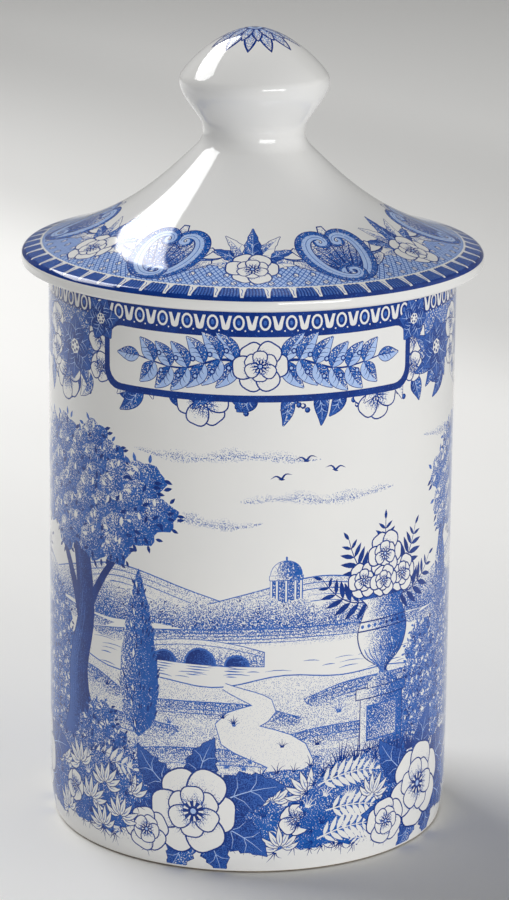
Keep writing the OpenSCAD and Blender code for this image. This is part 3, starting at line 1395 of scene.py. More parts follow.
@dataclass(frozen=True)
class FiredFinish:
    """A fired or moulded surface: its colour, its drift of colour, its gloss and its ripple."""

    name: str
    colour: Colour
    drift: Colour
    drift_scale: float
    gloss: tuple[float, float] = (0.05, 0.09)
    ripple_scale: float = 70.0
    ripple_depth: float = 0.04

    def add_colour(self, tree: bpy.types.NodeTree) -> tuple[bpy.types.NodeSocket, bpy.types.NodeSocket]:
        """Add the nodes of the colour.

        Args:
            tree: The material's tree.

        Returns:
            The colour, and a mask that the gloss follows.
        """
        values = {"Color": self.colour, "Drift": self.drift, "Scale": self.drift_scale}
        mottle = add_node(tree, "ShaderNodeGroup", values, kiln_mottle())
        return mottle.outputs["Color"], mottle.outputs["Mask"]

    def material(self) -> bpy.types.Material:
        """Build the material.

        Returns:
            The new material.
        """
        made = bpy.data.materials.new(self.name)
        made.use_nodes = True
        tree = made.node_tree
        shader = tree.nodes["Principled BSDF"]
        shader.inputs["IOR"].default_value = GLAZE_IOR
        colour, mask = self.add_colour(tree)
        sheen = add_node(tree, "ShaderNodeMapRange", {"To Min": self.gloss[0], "To Max": self.gloss[1]})
        ripple = add_node(tree, "ShaderNodeGroup", {"Scale": self.ripple_scale}, glaze_ripple())
        bump = add_node(tree, "ShaderNodeBump", {"Strength": self.ripple_depth, "Distance": MM})
        join(
            tree,
            (colour, shader.inputs["Base Color"]),
            (mask, sheen.inputs["Value"]),
            (sheen.outputs["Result"], shader.inputs["Roughness"]),
            (ripple.outputs["Height"], bump.inputs["Height"]),
            (bump.outputs["Normal"], shader.inputs["Normal"]),
        )
        return made


@dataclass(frozen=True)
class InkFinish(FiredFinish):
    """Ink under the glaze, in dots over another colour."""

    under: Colour = WHITE_GLAZE
    share: float | None = None
    dot_scale: float = 5300.0

    def add_colour(self, tree: bpy.types.NodeTree) -> tuple[bpy.types.NodeSocket, bpy.types.NodeSocket]:
        """Add the nodes of the colour: the drifting ink, and what shows between its dots.

        Args:
            tree: The material's tree.

        Returns:
            The colour, and a mask that the gloss follows.
        """
        ink, mask = super().add_colour(tree)
        dots = add_node(tree, "ShaderNodeGroup", {"Scale": self.dot_scale}, print_stipple())
        if self.share is None:
            graded = add_node(tree, "ShaderNodeAttribute")
            graded.attribute_name = "ink"
            join(tree, (graded.outputs["Fac"], dots.inputs["Share"]))
        else:
            dots.inputs["Share"].default_value = self.share
        blend = add_node(tree, "ShaderNodeMix")
        blend.data_type = "RGBA"
        blend.inputs["A"].default_value = self.under
        join(tree, (dots.outputs["Mask"], blend.inputs["Factor"]), (ink, blend.inputs["B"]))
        return blend.outputs["Result"], mask


PALE_INK = (0.37, 0.515, 0.84, 1)
MID_INK = (0.03, 0.115, 0.44, 1)
DEEP_INK = (0.0, 0.024, 0.19, 1)
DEEP_DRIFT = (0.001, 0.038, 0.255, 1)

FIRED = (
    FiredFinish("white glaze", WHITE_GLAZE, (0.795, 0.795, 0.785, 1), 55),
    InkFinish("pale blue ink", PALE_INK, (0.44, 0.58, 0.86, 1), 400, share=0.97),
    InkFinish("mid blue ink", MID_INK, (0.045, 0.15, 0.51, 1), 500, under=PALE_INK, share=0.96),
    InkFinish("deep blue ink", DEEP_INK, DEEP_DRIFT, 500, under=MID_INK, share=0.985),
    InkFinish("stippled blue ink", (0.004, 0.082, 0.385, 1), (0.013, 0.115, 0.455, 1), 500),
    InkFinish("shaded blue ink", DEEP_INK, DEEP_DRIFT, 500, under=MID_INK),
    # The bare clay is darker than the clay itself, so the thin line at the foot shows both unglazed clay and
    # painted contact shade.
    FiredFinish("bare clay with painted foot shade", (0.36, 0.29, 0.2, 1), (0.26, 0.2, 0.14, 1), 600, (0.7, 0.9), 900, 0.35),
)
SEAL_RUBBER = FiredFinish(
    "seal rubber", (0.78, 0.79, 0.77, 1), (0.72, 0.73, 0.71, 1), 300, (0.38, 0.5), 700, 0.1
)


@dataclass(frozen=True)
class PaintedLightPaper:
    """Pale paper with painted light and shade across the set, each painted tone at its distance in metres."""

    across: tuple[float, float, float] = (0.781, 0.625, 0.0)
    tint: tuple[float, float, float] = (1.0, 0.995, 0.975)
    roughness: float = 0.85
    # These tones paint a bright band where the side box's light pools, painted shade on either side of it and
    # a dip where the jar's shadow falls.
    tones: tuple[Place, ...] = (
        (-0.8, 0.85), (-0.5, 0.75), (-0.3, 0.45), (-0.127, 0.9), (-0.06, 0.94),
        (-0.017, 0.84), (0.017, 0.87), (0.055, 0.91), (0.103, 0.96), (0.151, 1.0),
        (0.209, 1.0), (0.286, 0.78), (0.415, 0.69), (0.487, 0.77), (0.66, 0.79),
    )

    def material(self) -> bpy.types.Material:
        """Build the material.

        Returns:
            The new material.
        """
        made = bpy.data.materials.new("backdrop paper with painted light")
        made.use_nodes = True
        tree = made.node_tree
        where = add_node(tree, "ShaderNodeTexCoord")
        along = add_node(tree, "ShaderNodeVectorMath", {1: self.across})
        along.operation = "DOT_PRODUCT"
        near, far = self.tones[0][0], self.tones[-1][0]
        spread = add_node(tree, "ShaderNodeMapRange", {"From Min": near, "From Max": far})
        ramp = add_node(tree, "ShaderNodeValToRGB")
        ramp.color_ramp.interpolation = "EASE"
        while len(ramp.color_ramp.elements) < len(self.tones):
            ramp.color_ramp.elements.new(1.0)
        for stop, (at, tone) in zip(ramp.color_ramp.elements, self.tones):
            stop.position = (at - near) / (far - near)
            stop.color = (*(share * tone for share in self.tint), 1)
        shader = tree.nodes["Principled BSDF"]
        shader.inputs["Roughness"].default_value = self.roughness
        join(
            tree,
            (where.outputs["Object"], along.inputs[0]),
            (along.outputs["Value"], spread.inputs["Value"]),
            (spread.outputs["Result"], ramp.inputs["Fac"]),
            (ramp.outputs["Color"], shader.inputs["Base Color"]),
        )
        return made


@cache
def fired_materials() -> list[bpy.types.Material]:
    """Give the materials of the jar and lid, in the order of Tone."""
    return [finish.material() for finish in FIRED]


# Sub-assemblies


@dataclass
class JarBody:
    """The straight jar, with a garden print from its foot to its lip."""

    body_r: float = 34.0
    bore_r: float = 30.4
    height: float = 95.7
    floor_z: float = 5.6
    lip_round: float = 0.7
    floor_round: float = 4.0
    tuck: float = 0.9
    tuck_h: float = 7.0
    foot_round: float = 0.6
    foot_ring_r: float = 29.85
    recess: float = 1.2
    egg_count: int = 51
    egg_start: float = 2.1
    garland_count: int = 5
    garland_z: float = 10.6
    border_count: int = 15
    border_z: float = 85.4
    border_top: float = 92.2
    egg_z: float = 93.25
    egg_band: Place = (91.8, 95.1)
    label_mid: float = 1.35
    label_half: float = 27.5
    label_low: float = 80.3
    label_high: float = 92.1
    seed: int = 7

    @property
    def past_seam(self) -> float:
        """Give half the way round the jar, and a millimetre more."""
        return self.body_r * math.pi + 1

    def side_r(self, z: float) -> float:
        """Give the outer radius at a height near the foot."""
        return self.body_r - self.tuck * max(0.0, 1 - z / self.tuck_h) ** 2

    def outline(self, sheet: PrintSheet) -> list[Stretch]:
        """Draw the turned outline, from the middle of the foot round to the middle of the floor.

        Args:
            sheet: The print of the outer side.

        Returns:
            The stretches in order.
        """
        edge_r = self.side_r(self.foot_round)
        ring_r = edge_r - self.foot_round
        slope_r = self.foot_ring_r - self.recess
        tucked = [(self.side_r(z), z) for z in (self.foot_round, 1.2, 2.0, 3.0, 4.2, 5.6, self.tuck_h)]
        top = self.height - self.lip_round
        outer_lip = arc((self.body_r - self.lip_round, top), self.lip_round, 0, 90, 7)
        inner_lip = arc((self.bore_r + self.lip_round, top), self.lip_round, 90, 180, 7)
        low_bore = (self.bore_r - self.floor_round, self.floor_z + self.floor_round)
        heel = arc((ring_r, self.foot_round), self.foot_round, -90, 0, 9)
        return [
            Stretch([(0, self.recess), (slope_r, self.recess)]),
            Stretch([(slope_r, self.recess), (self.foot_ring_r, 0)], Tone.CLAY, True),
            Stretch([(self.foot_ring_r, 0)] + heel[:6], Tone.CLAY, True),
            Stretch(heel[5:]),
            Stretch(tucked + [(self.body_r, top)], sheet=sheet, by_height=True),
            Stretch(outer_lip + inner_lip),
            Stretch([inner_lip[-1]] + arc(low_bore, self.floor_round, 0, -90, 9)),
            Stretch([(low_bore[0], self.floor_z), (0, self.floor_z)]),
        ]

    def draw_sky(self, pen: Engraver) -> None:
        """Draw clouds and birds.

        Args:
            pen: The engraver.
        """
        clouds = (
            (-4, 71, 32), (12, 64, 28), (46, 71, 26), (74, 66, 32), (100, 72, 26),
            (-42, 64, 26), (-72, 71, 30), (-96, 65, 26), (-8, 60, 20),
        )
        for x, y, width in clouds:
            pen.cloud(Spot(x, y), width, 3.4)
        birds = ((9, 70.5, 0.1), (14, 68.6, -0.1), (5, 67.6, 0.2), (-62, 64, 0.1), (88, 62, 0))
        for x, y, turn in birds:
            pen.bird(Spot(x, y, turn, 0.9))

    def draw_distance(self, pen: Engraver) -> None:
        """Draw hills, a line of trees, water, a bridge and a garden temple.

        Args:
            pen: The engraver.
        """
        for x in (-104, -62, -22, 12, 52, 86):
            pen.rise([(x - 26, 44), (x - 12, 48.5), (x, 51), (x + 14, 48), (x + 26, 44)], 6, 0.22)
        pen.temple(Spot(6, 46, size=0.66))
        pen.hedge(-self.past_seam, self.past_seam, 41.8, 6.0)
        pen.rise([(-30, 39), (-12, 41.6), (8, 42.6), (34, 41.5)], 3.4, 0.5)
        pen.rise([(28, 40.5), (56, 42.4), (84, 41.5), (112, 42), (134, 41.2)], 3.4, 0.5)
        pen.rise([(-84, 41.2), (-66, 42.4), (-46, 42), (-24, 40.8)], 3.4, 0.5)
        pen.bridge(Spot(-8, 36, size=0.92))

    def draw_ground(self, pen: Engraver) -> None:
        """Draw the water's edge, the lawns and the paths, with grass.

        Args:
            pen: The engraver.
        """
        half = self.body_r * math.pi
        across = np.linspace(-self.past_seam, self.past_seam, 90)
        shore = np.column_stack([across, 33.4 + 0.9 * np.sin(0.13 * across) + 0.5 * np.sin(0.31 * across)])
        lawn = np.concatenate([shore, [(self.past_seam, 12), (-self.past_seam, 12)]])
        pen.hatching((-half, 33.5, half, 38), 0.8, 3.6, 0.4)
        pen.sheet.fill(lawn, Tone.STIPPLE, ink=Fall(shore, 16, 0.1, 0.32))
        pen.sheet.line(shore, 0.22, Tone.MID)
        swells = (
            (-34, 32, 24), (22, 32.4, 26), (66, 32, 30), (104, 32.5, 24), (-74, 32, 26),
            (-6, 29.5, 30), (44, 29, 24), (84, 29.5, 26), (-52, 29, 26), (-92, 29.5, 24),
            (-26, 25.5, 30), (18, 25, 34), (62, 25, 30), (104, 25, 30), (-66, 25, 30),
            (-4, 21.5, 34), (40, 21, 28), (82, 21, 34), (-44, 21, 30), (-88, 21, 34),
        )
        drop = 1.6
        for x, y, width in swells:
            lean = pen.dice.uniform(-drop, drop)
            out, near = width / 2, width / 5
            top = [(x - out, y - drop - lean), (x - near, y), (x + near, y), (x + out, y - drop + lean)]
            pen.rise(top, 4.0, 0.55, 0.12)
        count = 24
        for x in (2, 73, -69):
            path = through([(x - 6, 32.6), (x + 1, 29), (x - 5, 25), (x + 5, 20), (x + 2, 12)], count)
            pen.sheet.line(path, np.linspace(1.3, 9.4, count), Tone.MID)
            pen.sheet.fill(ribbon(path, np.linspace(1.0, 9.0, count)), Tone.STIPPLE, ink=even(0.05))
        tufts = 70
        for _ in range(tufts):
            x, y = pen.dice.uniform(-half, half), pen.dice.uniform(18, 32)
            pen.tuft(Spot(x, y), pen.dice.uniform(1.2, 2.4), 5, pen.dice.choice((Tone.MID, Tone.DEEP)))

    def draw_features(self, pen: Engraver) -> None:
        """Draw the trees, the urns and the shrubs that frame the views.

        Args:
            pen: The engraver.
        """
        for x, y, height in ((41, 24, 32), (-19, 22, 29), (-66, 24, 30), (70, 24, 28), (-100, 24, 31)):
            pen.cypress(Spot(x, y), height)
        trees = ((-32, 19, 52, 34), (55, 20, 50, 34), (-84, 20, 48, 34), (102, 20, 50, 32))
        for x, low, height, spread in trees:
            pen.shrub(Spot(x - 9, low), 13, 24)
            pen.tree(Spot(x, low), height, spread, 36)
            pen.shrub(Spot(x + 5, low - 2), 13, 9)
        for x in (24, -58, 80):
            pen.shrub(Spot(x + 10, 18), 12, 21)
            pen.urn(Spot(x, 18, size=1.2))
            for k in range(6):
                pen.tuft(Spot(x - 8 + 3 * k, 17.5), 5.0, 7, Tone.DEEP, 1.3)

    def draw_garland(self, pen: Engraver) -> None:
        """Draw the flowers, leaves and ferns round the foot.

        Args:
            pen: The engraver.
        """
        pitch = self.body_r * math.tau / self.garland_count
        fronds = ((-22, 15, 0.1, 11), (-20.5, 10.4, -0.1, 11), (-22, 5.6, 0.1, 11), (-9, 4.2, 3.0, 7))
        fans = (
            (13, 12.6, 4.2), (19, 13.8, 4.6), (25.5, 12, 4.4), (29, 7, 4.2),
            (22, 8.4, 4.4), (25, 4.4, 4.0), (14.5, 4.4, 4.2), (-11.5, 11.5, 4.2),
        )
        leaves = (
            (0.3, 13, 8, LeafLook.DARK), (-0.55, 11.5, 7, LeafLook.DARK), (1.3, 10.5, 6, LeafLook.DARK),
            (2.35, 11.5, 6, LeafLook.DARK), (3.3, 11, 6.5, LeafLook.DARK), (4.3, 9.5, 5.5, LeafLook.HALVED),
            (5.1, 9.5, 5.5, LeafLook.DARK),
        )
        root = 3
        for k in range(self.garland_count):
            base = Spot(-9 + k * pitch, 0)
            self.draw_mass(pen, base, 18, 14, 8.2)
            self.draw_mass(pen, base, -14, 11, 8.6)
            for x, y, lean, length in fronds:
                pen.frond(base.at(x, y, lean), length, 8, Tone.GLAZE, 0.08)
            for x, y, reach in fans:
                pen.fan(base.at(x, y, pen.dice.uniform(-0.5, 0.5)), reach, 7, 2.7)
            for at, length, width, look in leaves:
                put = base.at(root * math.cos(at), self.garland_z + root * math.sin(at), at)
                pen.leaf(put, length, width, look, 0.08, 6)
            pen.blossom(base.at(0, self.garland_z, 0.3 * k), 7.6, 6)
            pen.blossom(base.at(-8.4, 6.2, 0.5), 4.0, 5)
            pen.blossom(base.at(17, 9.4), 2.8, 5, 1)

    def draw_mass(self, pen: Engraver, base: Spot, mid: float, wide: float, high: float) -> None:
        """Draw the dark mass of grass behind the flowers round the foot.

        Args:
            pen: The engraver.
            base: The middle of the flowers, at the foot.
            mid: The middle of the mass, measured from there.
            wide: Half its width.
            high: Half its height.
        """
        count, inner, golden = 60, 18, 2.4
        turn = np.linspace(0, math.tau, count, endpoint=False)
        edge = 1 + 0.05 * np.cos(13 * turn) + 0.04 * np.sin(19 * turn)
        x, y = mid + wide * edge * np.cos(turn), high + 2 + high * edge * np.sin(turn)
        low = 4.3 + 0.5 * np.sin(0.9 * x) + 0.4 * np.sin(2.3 * x)
        mass = np.column_stack([x, np.maximum(y, low)])
        pen.sheet.fill(mass, Tone.STIPPLE, base, Fade((mid, 2 * high), (mid, 4), 0.62, 0.97))
        for m in range(0, count, 2):
            root = mass[m] * (1, 0.97) + (0.05 * (mid - mass[m, 0]), 0.1)
            put = base.at(*root, turn[m] - math.pi / 2)
            pen.tuft(put, pen.dice.uniform(1.7, 2.7), 4, Tone.DEEP, 2.1)
        for m in range(inner):
            out = math.sqrt((m + 0.5) / inner)
            x = mid + 0.9 * out * wide * math.cos(golden * m)
            y = high + 2.4 + 0.8 * out * high * math.sin(golden * m)
            tone = Tone.GLAZE if m % 2 else Tone.DEEP
            pen.tuft(base.at(x, max(y, 4.6), pen.dice.uniform(-0.5, 0.5)), 2.4, 5, tone, 2.0)

    def draw_top(self, pen: Engraver) -> None:
        """Draw the flowered border, the label panel and the egg band below the lip.

        Args:
            pen: The engraver.
        """
        half = self.body_r * math.pi
        pitch = self.body_r * math.tau / self.border_count
        across = np.linspace(-self.past_seam, self.past_seam, 240)
        low = np.column_stack([across, 85.2 - 1.6 * np.abs(np.sin(across * math.pi / pitch))])
        top = [(self.past_seam, self.border_top), (-self.past_seam, self.border_top)]
        pen.sheet.fill(np.concatenate([low, top]), Tone.STIPPLE, ink=even(0.5))
        bars = 132
        for x in np.arange(-half, half, self.body_r * math.tau / bars):
            for lean in (5.6, -5.6):
                pen.sheet.line(bow((x, self.border_z), (x + lean, 92), 0.0, 3), 0.24, Tone.MID)
        pen.sheet.line(low, 0.4, Tone.DEEP)
        looks = (LeafLook.DARK, LeafLook.LIGHT, LeafLook.DARK, LeafLook.HALVED, LeafLook.DARK)
        half_count = 22
        for k in range(2 * half_count):
            x = -half + k * half / half_count + pen.dice.uniform(-1.0, 1.0)
            lean = -math.pi / 2 + pen.dice.uniform(-0.9, 0.9)
            length, width = pen.dice.uniform(3.6, 6.4), pen.dice.uniform(2.0, 3.0)
            pen.leaf(Spot(x, 81.8, lean), length, width, looks[k % len(looks)], 0.08)
            if k % 2:
                for m in range(3):
                    berry = (x + 2.0 + 0.7 * m, 79.9 - 0.55 * m + pen.dice.uniform(-0.4, 0.4))
                    pen.sheet.dot(*berry, 0.5, Tone.DEEP)
                    pen.sheet.dot(berry[0] - 0.1, berry[1] + 0.1, 0.26, Tone.GLAZE if m % 2 else Tone.MID)
        for k in range(2, 2 * half_count, 6):
            pen.blossom(Spot(-half + (k + 0.4) * half / half_count, 80.2, k), 4.2, 6, 1)
        for k in range(self.border_count):
            x = self.label_mid + pitch * (k + 0.5)
            for lean in (-2.7, -2.1, -1.0, -0.45, 0.4, 2.7):
                look = LeafLook.LIGHT if k % 2 else LeafLook.HALVED
                pen.leaf(Spot(x, self.border_z, lean), pen.dice.uniform(6.6, 8.2), 2.9, look, 0.08)
            pen.bloom(Spot(x, self.border_z, 0.3 * k), 5.4, 6)
            pen.blossom(Spot(x + pitch / 2, 88.4), 3.0, 5, 1)
            pen.blossom(Spot(x + pitch / 2, 83.4), 2.4, 5, 1)
        self.draw_label(pen)
        self.draw_eggs(pen)

    def draw_label(self, pen: Engraver) -> None:
        """Draw the label panel, which holds a plain herb sprig.

        Args:
            pen: The engraver.
        """
        mid, wide = self.label_mid, self.label_half
        for inset, tone in ((0.0, Tone.DEEP), (1.15, Tone.GLAZE)):
            low, high = self.label_low + inset, self.label_high - inset
            panel = block(mid - wide + inset, low, mid + wide - inset, high, 3.2 - 0.6 * inset)
            pen.sheet.fill(panel, tone)
        level = (self.label_low + self.label_high) / 2
        for side in (1, -1):
            stem = Spot(mid, level, flip=side)
            path = through([(0, 0), (6, 1.0), (13, -0.8), (20.5, 0.4)], 24)
            pen.sheet.line(path, np.linspace(0.6, 0.2, len(path)), Tone.DEEP, stem)
            for k in range(5, 23, 3):
                x, y = path[k]
                for way in (1, -1):
                    pen.leaf(stem.at(x, y, way * 0.95), 5.9 - 0.07 * k, 2.7, LeafLook.TINTED, 0.06 * way)
                for dx, dy in ((-0.9, 1.5), (-1.3, -1.3)):
                    for radius, tone in ((0.5, Tone.DEEP), (0.26, Tone.PALE)):
                        pen.sheet.dot(x + dx, y + dy, radius, tone, stem)
            pen.leaf(stem.at(20.3, 0.4), 4.4, 2.3, LeafLook.TINTED)
        pen.blossom(Spot(mid, level), 4.3, 6)

    def draw_eggs(self, pen: Engraver) -> None:
        """Draw the band of eggs and darts.

        Args:
            pen: The engraver.
        """
        pitch = self.body_r * math.tau / self.egg_count
        side = [(0.55, -0.95), (0.74, 0.1), (1.0, 1.12)]
        cup = through([(-x, y) for x, y in side[::-1]] + [(0, -1.2)] + side, 16)
        egg = ((0.94, 1.24, Tone.GLAZE), (0.6, 0.88, Tone.DEEP), (0.28, 0.4, Tone.MID))
        low, high = self.egg_band
        pen.sheet.fill(block(-self.past_seam, low, self.past_seam, high), Tone.DEEP)
        for k in range(self.egg_count):
            spot = Spot(self.egg_start + k * pitch, self.egg_z)
            for half_w, half_h, tone in egg:
                pen.sheet.fill(oval(0, 0, half_w, half_h, 14), tone, spot)
            dart = spot.at(pitch / 2, 0)
            pen.sheet.fill(cup, Tone.GLAZE, dart)
            pen.sheet.fill(np.array([(-0.52, 1.2), (0.52, 1.2), (0.0, -0.4)]), Tone.DEEP, dart)
            for way in (1, -1):
                pen.sheet.dot(way * pitch / 4, -1.3, 0.14, Tone.GLAZE, spot)
        for away in (-1.0, 1.0, -2.7, 2.7):
            pen.bloom(Spot(self.label_mid + away * (self.label_half + 0.9), 91.4, 0.9 * away), 3.9, 6)

    def build(self) -> bpy.types.Object:
        """Make the jar with its print.

        Returns:
            The new object.
        """
        sheet = PrintSheet(self.body_r * math.tau)
        pen = Engraver(sheet, random.Random(self.seed))
        self.draw_sky(pen)
        self.draw_distance(pen)
        self.draw_ground(pen)
        self.draw_features(pen)
        self.draw_garland(pen)
        self.draw_top(pen)
        piece = Turning("jar_shell", self.outline(sheet)).build(fired_materials())
        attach(piece, "jar")
        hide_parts("jar_body")
        return piece


@dataclass
class JarLid:
    """The flared lid with its knob, printed on the rim and on the crown of the knob."""

    lid_z: float = 95.9
    rim_r: float = 38.5
    rim_edge_h: float = 1.3
    rim_round: float = 0.8
    rim_nose: float = 1.4
    flare_slope: float = 15.5
    flare_run: float = 16.0
    cone_slope: float = 44.0
    cone_run: float = 8.4
    neck_r: float = 8.45
    neck_z: float = 118.0
    neck_round: float = 3.8
    knob_slope: float = 55.0
    knob_run: float = 3.0
    waist_r: float = 12.4
    waist_z: float = 126.3
    waist_soft: float = 2.0
    waist_round: float = 2.1
    top_z: float = 135.0
    dome_slope: float = 55.0
    dome_run: float = 4.0
    crown_run: float = 4.4
    spigot_r: float = 27.4
    bead_r: float = 28.2
    bead_z: float = 89.2
    spigot_bore_r: float = 24.8
    spigot_z: float = 87.6
    hole_r: float = 5.25
    hole_dome: float = 5.25
    wall: float = 3.2
    block_count: int = 57
    block_turn: float = 0.0149
    block_band: Place = (1.1, 4.4)
    edge_line: Place = (0.55, 1.2)
    scroll_count: int = 6
    scroll_run: float = 4.7
    lattice_band: Place = (4.3, 13.2)
    petal_count: int = 12
    petal_start: float = 0.9
    crown_turn: float = -0.15
    seed: int = 11

    def neck_end(self, slope: float, above: bool) -> Place:
        """Give the place where the neck's hollow meets a slope.

        Args:
            slope: The slope in degrees.
            above: Whether it lies above the neck.

        Returns:
            Radius and height of the place.
        """
        turn = math.radians(slope)
        rise = self.neck_round * math.cos(turn) * (1 if above else -1)
        return (self.neck_r + self.neck_round - self.neck_round * math.sin(turn), self.neck_z + rise)

    def flare(self) -> list[Place]:
        """Draw the rounded top of the rim and the curve from there up to the neck.

        Returns:
            Points from the rim's edge to the neck.
        """
        middle = (self.rim_r - self.rim_nose, self.lid_z + self.rim_edge_h)
        nose = arc(middle, self.rim_nose, 0, 90 - self.flare_slope, 9)
        low, high = math.radians(self.flare_slope), math.radians(self.cone_slope)
        start, end = nose[-1], self.neck_end(self.cone_slope, False)
        first = (start[0] - self.flare_run * math.cos(low), start[1] + self.flare_run * math.sin(low))
        second = (end[0] + self.cone_run * math.cos(high), end[1] - self.cone_run * math.sin(high))
        return nose[:-1] + bezier((start, first, second, end), 25)

    def outline(self, flare: Stretch, crown: Stretch) -> list[Stretch]:
        """Draw the turned outline, from the top of the hole round to the top of the knob.

        Args:
            flare: The printed stretch from the rim to the neck.
            crown: The printed stretch on the knob.

        Returns:
            The stretches in order.
        """
        turn = steps(9) * math.pi / 2
        dome = [(self.hole_r * math.sin(a), self.waist_z + self.hole_dome * math.cos(a)) for a in turn]
        slope = np.array(flare.points[8:])
        shell = slope + left_of(slope) * self.wall
        inner = [(r, z) for r, z in shell if self.hole_r < r < self.spigot_bore_r]
        under = [(self.hole_r, self.neck_z)] + inner[::-1] + [(self.spigot_bore_r, inner[0][1] - 0.4)]
        middle = (self.neck_r + self.neck_round, self.neck_z)
        neck = arc(middle, self.neck_round, 270 - self.cone_slope, 90 + self.knob_slope, 15)
        knob_foot = self.neck_end(self.knob_slope, True)
        lean = math.radians(self.knob_slope)
        guide = (knob_foot[0] + self.knob_run * math.cos(lean), knob_foot[1] + self.knob_run * math.sin(lean))
        waist = (self.waist_r, self.waist_z)
        under_knob = bezier((knob_foot, guide, (self.waist_r, self.waist_z - self.waist_soft), waist), 11)
        heel = arc((self.rim_r - self.rim_round, self.lid_z + self.rim_round), self.rim_round, -90, 0, 6)
        chamfer = (self.bead_r - self.spigot_r) / 2
        bead = [(self.bead_r - chamfer, self.spigot_z), (self.bead_r, (self.spigot_z + self.bead_z) / 2),
                (self.bead_r, self.bead_z), (self.spigot_r, self.bead_z)]
        return [
            Stretch(dome),
            Stretch([dome[-1], under[0]]),
            Stretch(under, crisp=True),
            Stretch([under[-1], (self.spigot_bore_r, self.spigot_z)], crisp=True),
            Stretch([(self.spigot_bore_r, self.spigot_z), bead[0]], Tone.CLAY, True),
            Stretch(bead, Tone.CLAY, True),
            Stretch([bead[-1], (self.spigot_r, self.lid_z)], Tone.CLAY, True),
            Stretch([(self.spigot_r, self.lid_z)] + heel, crisp=True),
            Stretch([heel[-1], flare.points[0]]),
            flare,
            Stretch([flare.points[-1]] + neck[1:-1] + under_knob),
            crown,
        ]

    def draw_rim(self, pen: Engraver, flare: Stretch) -> None:
        """Draw the edge line and the band of hatched blocks.

        Args:
            pen: The engraver.
            flare: The printed stretch.
        """
        past_seam = flare.sheet.span / 2 + 1
        for (low, high), tone in ((self.block_band, Tone.GLAZE), (self.edge_line, Tone.DEEP)):
            pen.sheet.fill(block(-past_seam, low, past_seam, high), tone)
        top = [(1.3 - 0.34 * m, 2.85 + 0.22 * (m % 2)) for m in range(9)]
        body = np.array([(-1.95, 0), (1.75, 0), (1.62, 0.9)] + top + [(-1.75, 1.5)])
        curl = through([(1.98, 0.5), (1.86, 1.2), (1.95, 2.0), (1.66, 2.7)], 6)
        for k in range(self.block_count):
            turn = self.block_turn + math.tau * k / self.block_count
            spot = FlareSpot(stretch=flare, angle=turn, run=self.block_band[0])
            pen.sheet.fill(body, Tone.DEEP, spot)
            for m in range(6):
                bar = bow((-1.35 + 0.52 * m, 0.35), (-1.3 + 0.48 * m, 2.8), -0.1, 3)
                pen.sheet.line(bar, 0.26, Tone.MID, spot)
            pen.sheet.line(curl, 0.14, Tone.MID, spot)

    def draw_ground(self, pen: Engraver, flare: Stretch) -> None:
        """Draw the lattice that the scrolls lie on.

        Args:
            pen: The engraver.
            flare: The printed stretch.
        """
        span, (low, high) = flare.sheet.span, self.lattice_band
        past_seam = span / 2 + 1
        across = np.linspace(-past_seam, past_seam, 361)
        wave = 1.2
        turn = across / span * math.tau * 2 * self.scroll_count
        top = np.column_stack([across, high + wave * np.cos(turn)])
        band = np.concatenate([top, [(past_seam, low), (-past_seam, low)]])
        pen.sheet.fill(band, Tone.PALE)
        count = 36 * self.scroll_count
        pitch = span / count
        for k in range(count):
            x = -span / 2 + k * pitch
            for lean in (1, -1):
                pen.sheet.line(bow((x, low), (x + lean * 6 * pitch, high - wave), 0.0, 3), 0.2, Tone.MID)
            for row in range(0 if k % 3 else 3):
                for radius, tone in ((0.66, Tone.DEEP), (0.46, Tone.GLAZE)):
                    pen.sheet.dot(x + 1.5 * pitch * (row % 2), low + 1.2 + 2.3 * row, radius, tone)
        pen.sheet.line(top, 0.36, Tone.DEEP)

    def draw_scrolls(self, pen: Engraver, flare: Stretch) -> None:
        """Draw the border of flowers, paired scrolls and palm leaves.

        Args:
            pen: The engraver.
            flare: The printed stretch.
        """
        self.draw_ground(pen, flare)
        for k in range(self.scroll_count):
            spot = FlareSpot(stretch=flare, angle=math.tau * k / self.scroll_count, run=self.scroll_run)
            for lean in (-1.5, 1.5, -1.0, 1.0, -0.5, 0.5, 0.0):
                put = spot.at(0, 5.2, math.pi / 2 - lean)
                look = LeafLook.HALVED if abs(lean) in (0.0, 1.0) else LeafLook.LIGHT
                pen.leaf(put, 10.0 - 1.6 * abs(lean), 3.2, look, 0.1 * lean, 5)
            pen.blossom(spot.at(0, 5.0), 4.2, 6)
        for k in range(self.scroll_count):
            angle = math.tau * (k + 0.5) / self.scroll_count
            spot = FlareSpot(stretch=flare, angle=angle, run=self.scroll_run)
            for m in (0, 6, 1, 5, 2, 4, 3):
                lean = (m - 3) * 0.36
                reach = 12.4 - 1.2 * abs(m - 3)
                self.draw_lobe(pen, spot.at(0.6 * math.sin(lean), 2.4, math.pi / 2 - lean), reach)
            pen.sheet.fill(oval(0, 2.4, 1.8, 1.6, 14), Tone.DEEP, spot)
            pen.sheet.fill(oval(0, 2.5, 1.2, 1.0, 14), Tone.GLAZE, spot)
            for side in (1, -1):
                mirrored = spot.at(side * 5.0, 6.8, flip=side)
                pen.scroll(mirrored.at(0, 0, 1.35), 29, 8.0, 7.0, 2.5)

    def draw_lobe(self, pen: Engraver, spot: Spot, reach: float) -> None:
        """Draw one lobe of a palm leaf.

        Args:
            pen: The engraver.
            spot: Its root.
            reach: Its length.
        """
        share = steps(9)
        path = np.column_stack([reach * share, 0 * share])
        full = 2.2 * np.sin(np.pi * (0.1 + 0.82 * share**1.6)) ** 0.8
        pen.sheet.line(path * (1.02, 1), full + 0.34, Tone.DEEP, spot)
        pen.sheet.fill(ribbon(path, full), Tone.STIPPLE, spot, sideways(0, reach, 1.0, 0.1))
        pen.sheet.line(path[2:8], np.linspace(0.4, 0.06, 6), Tone.DEEP, spot)

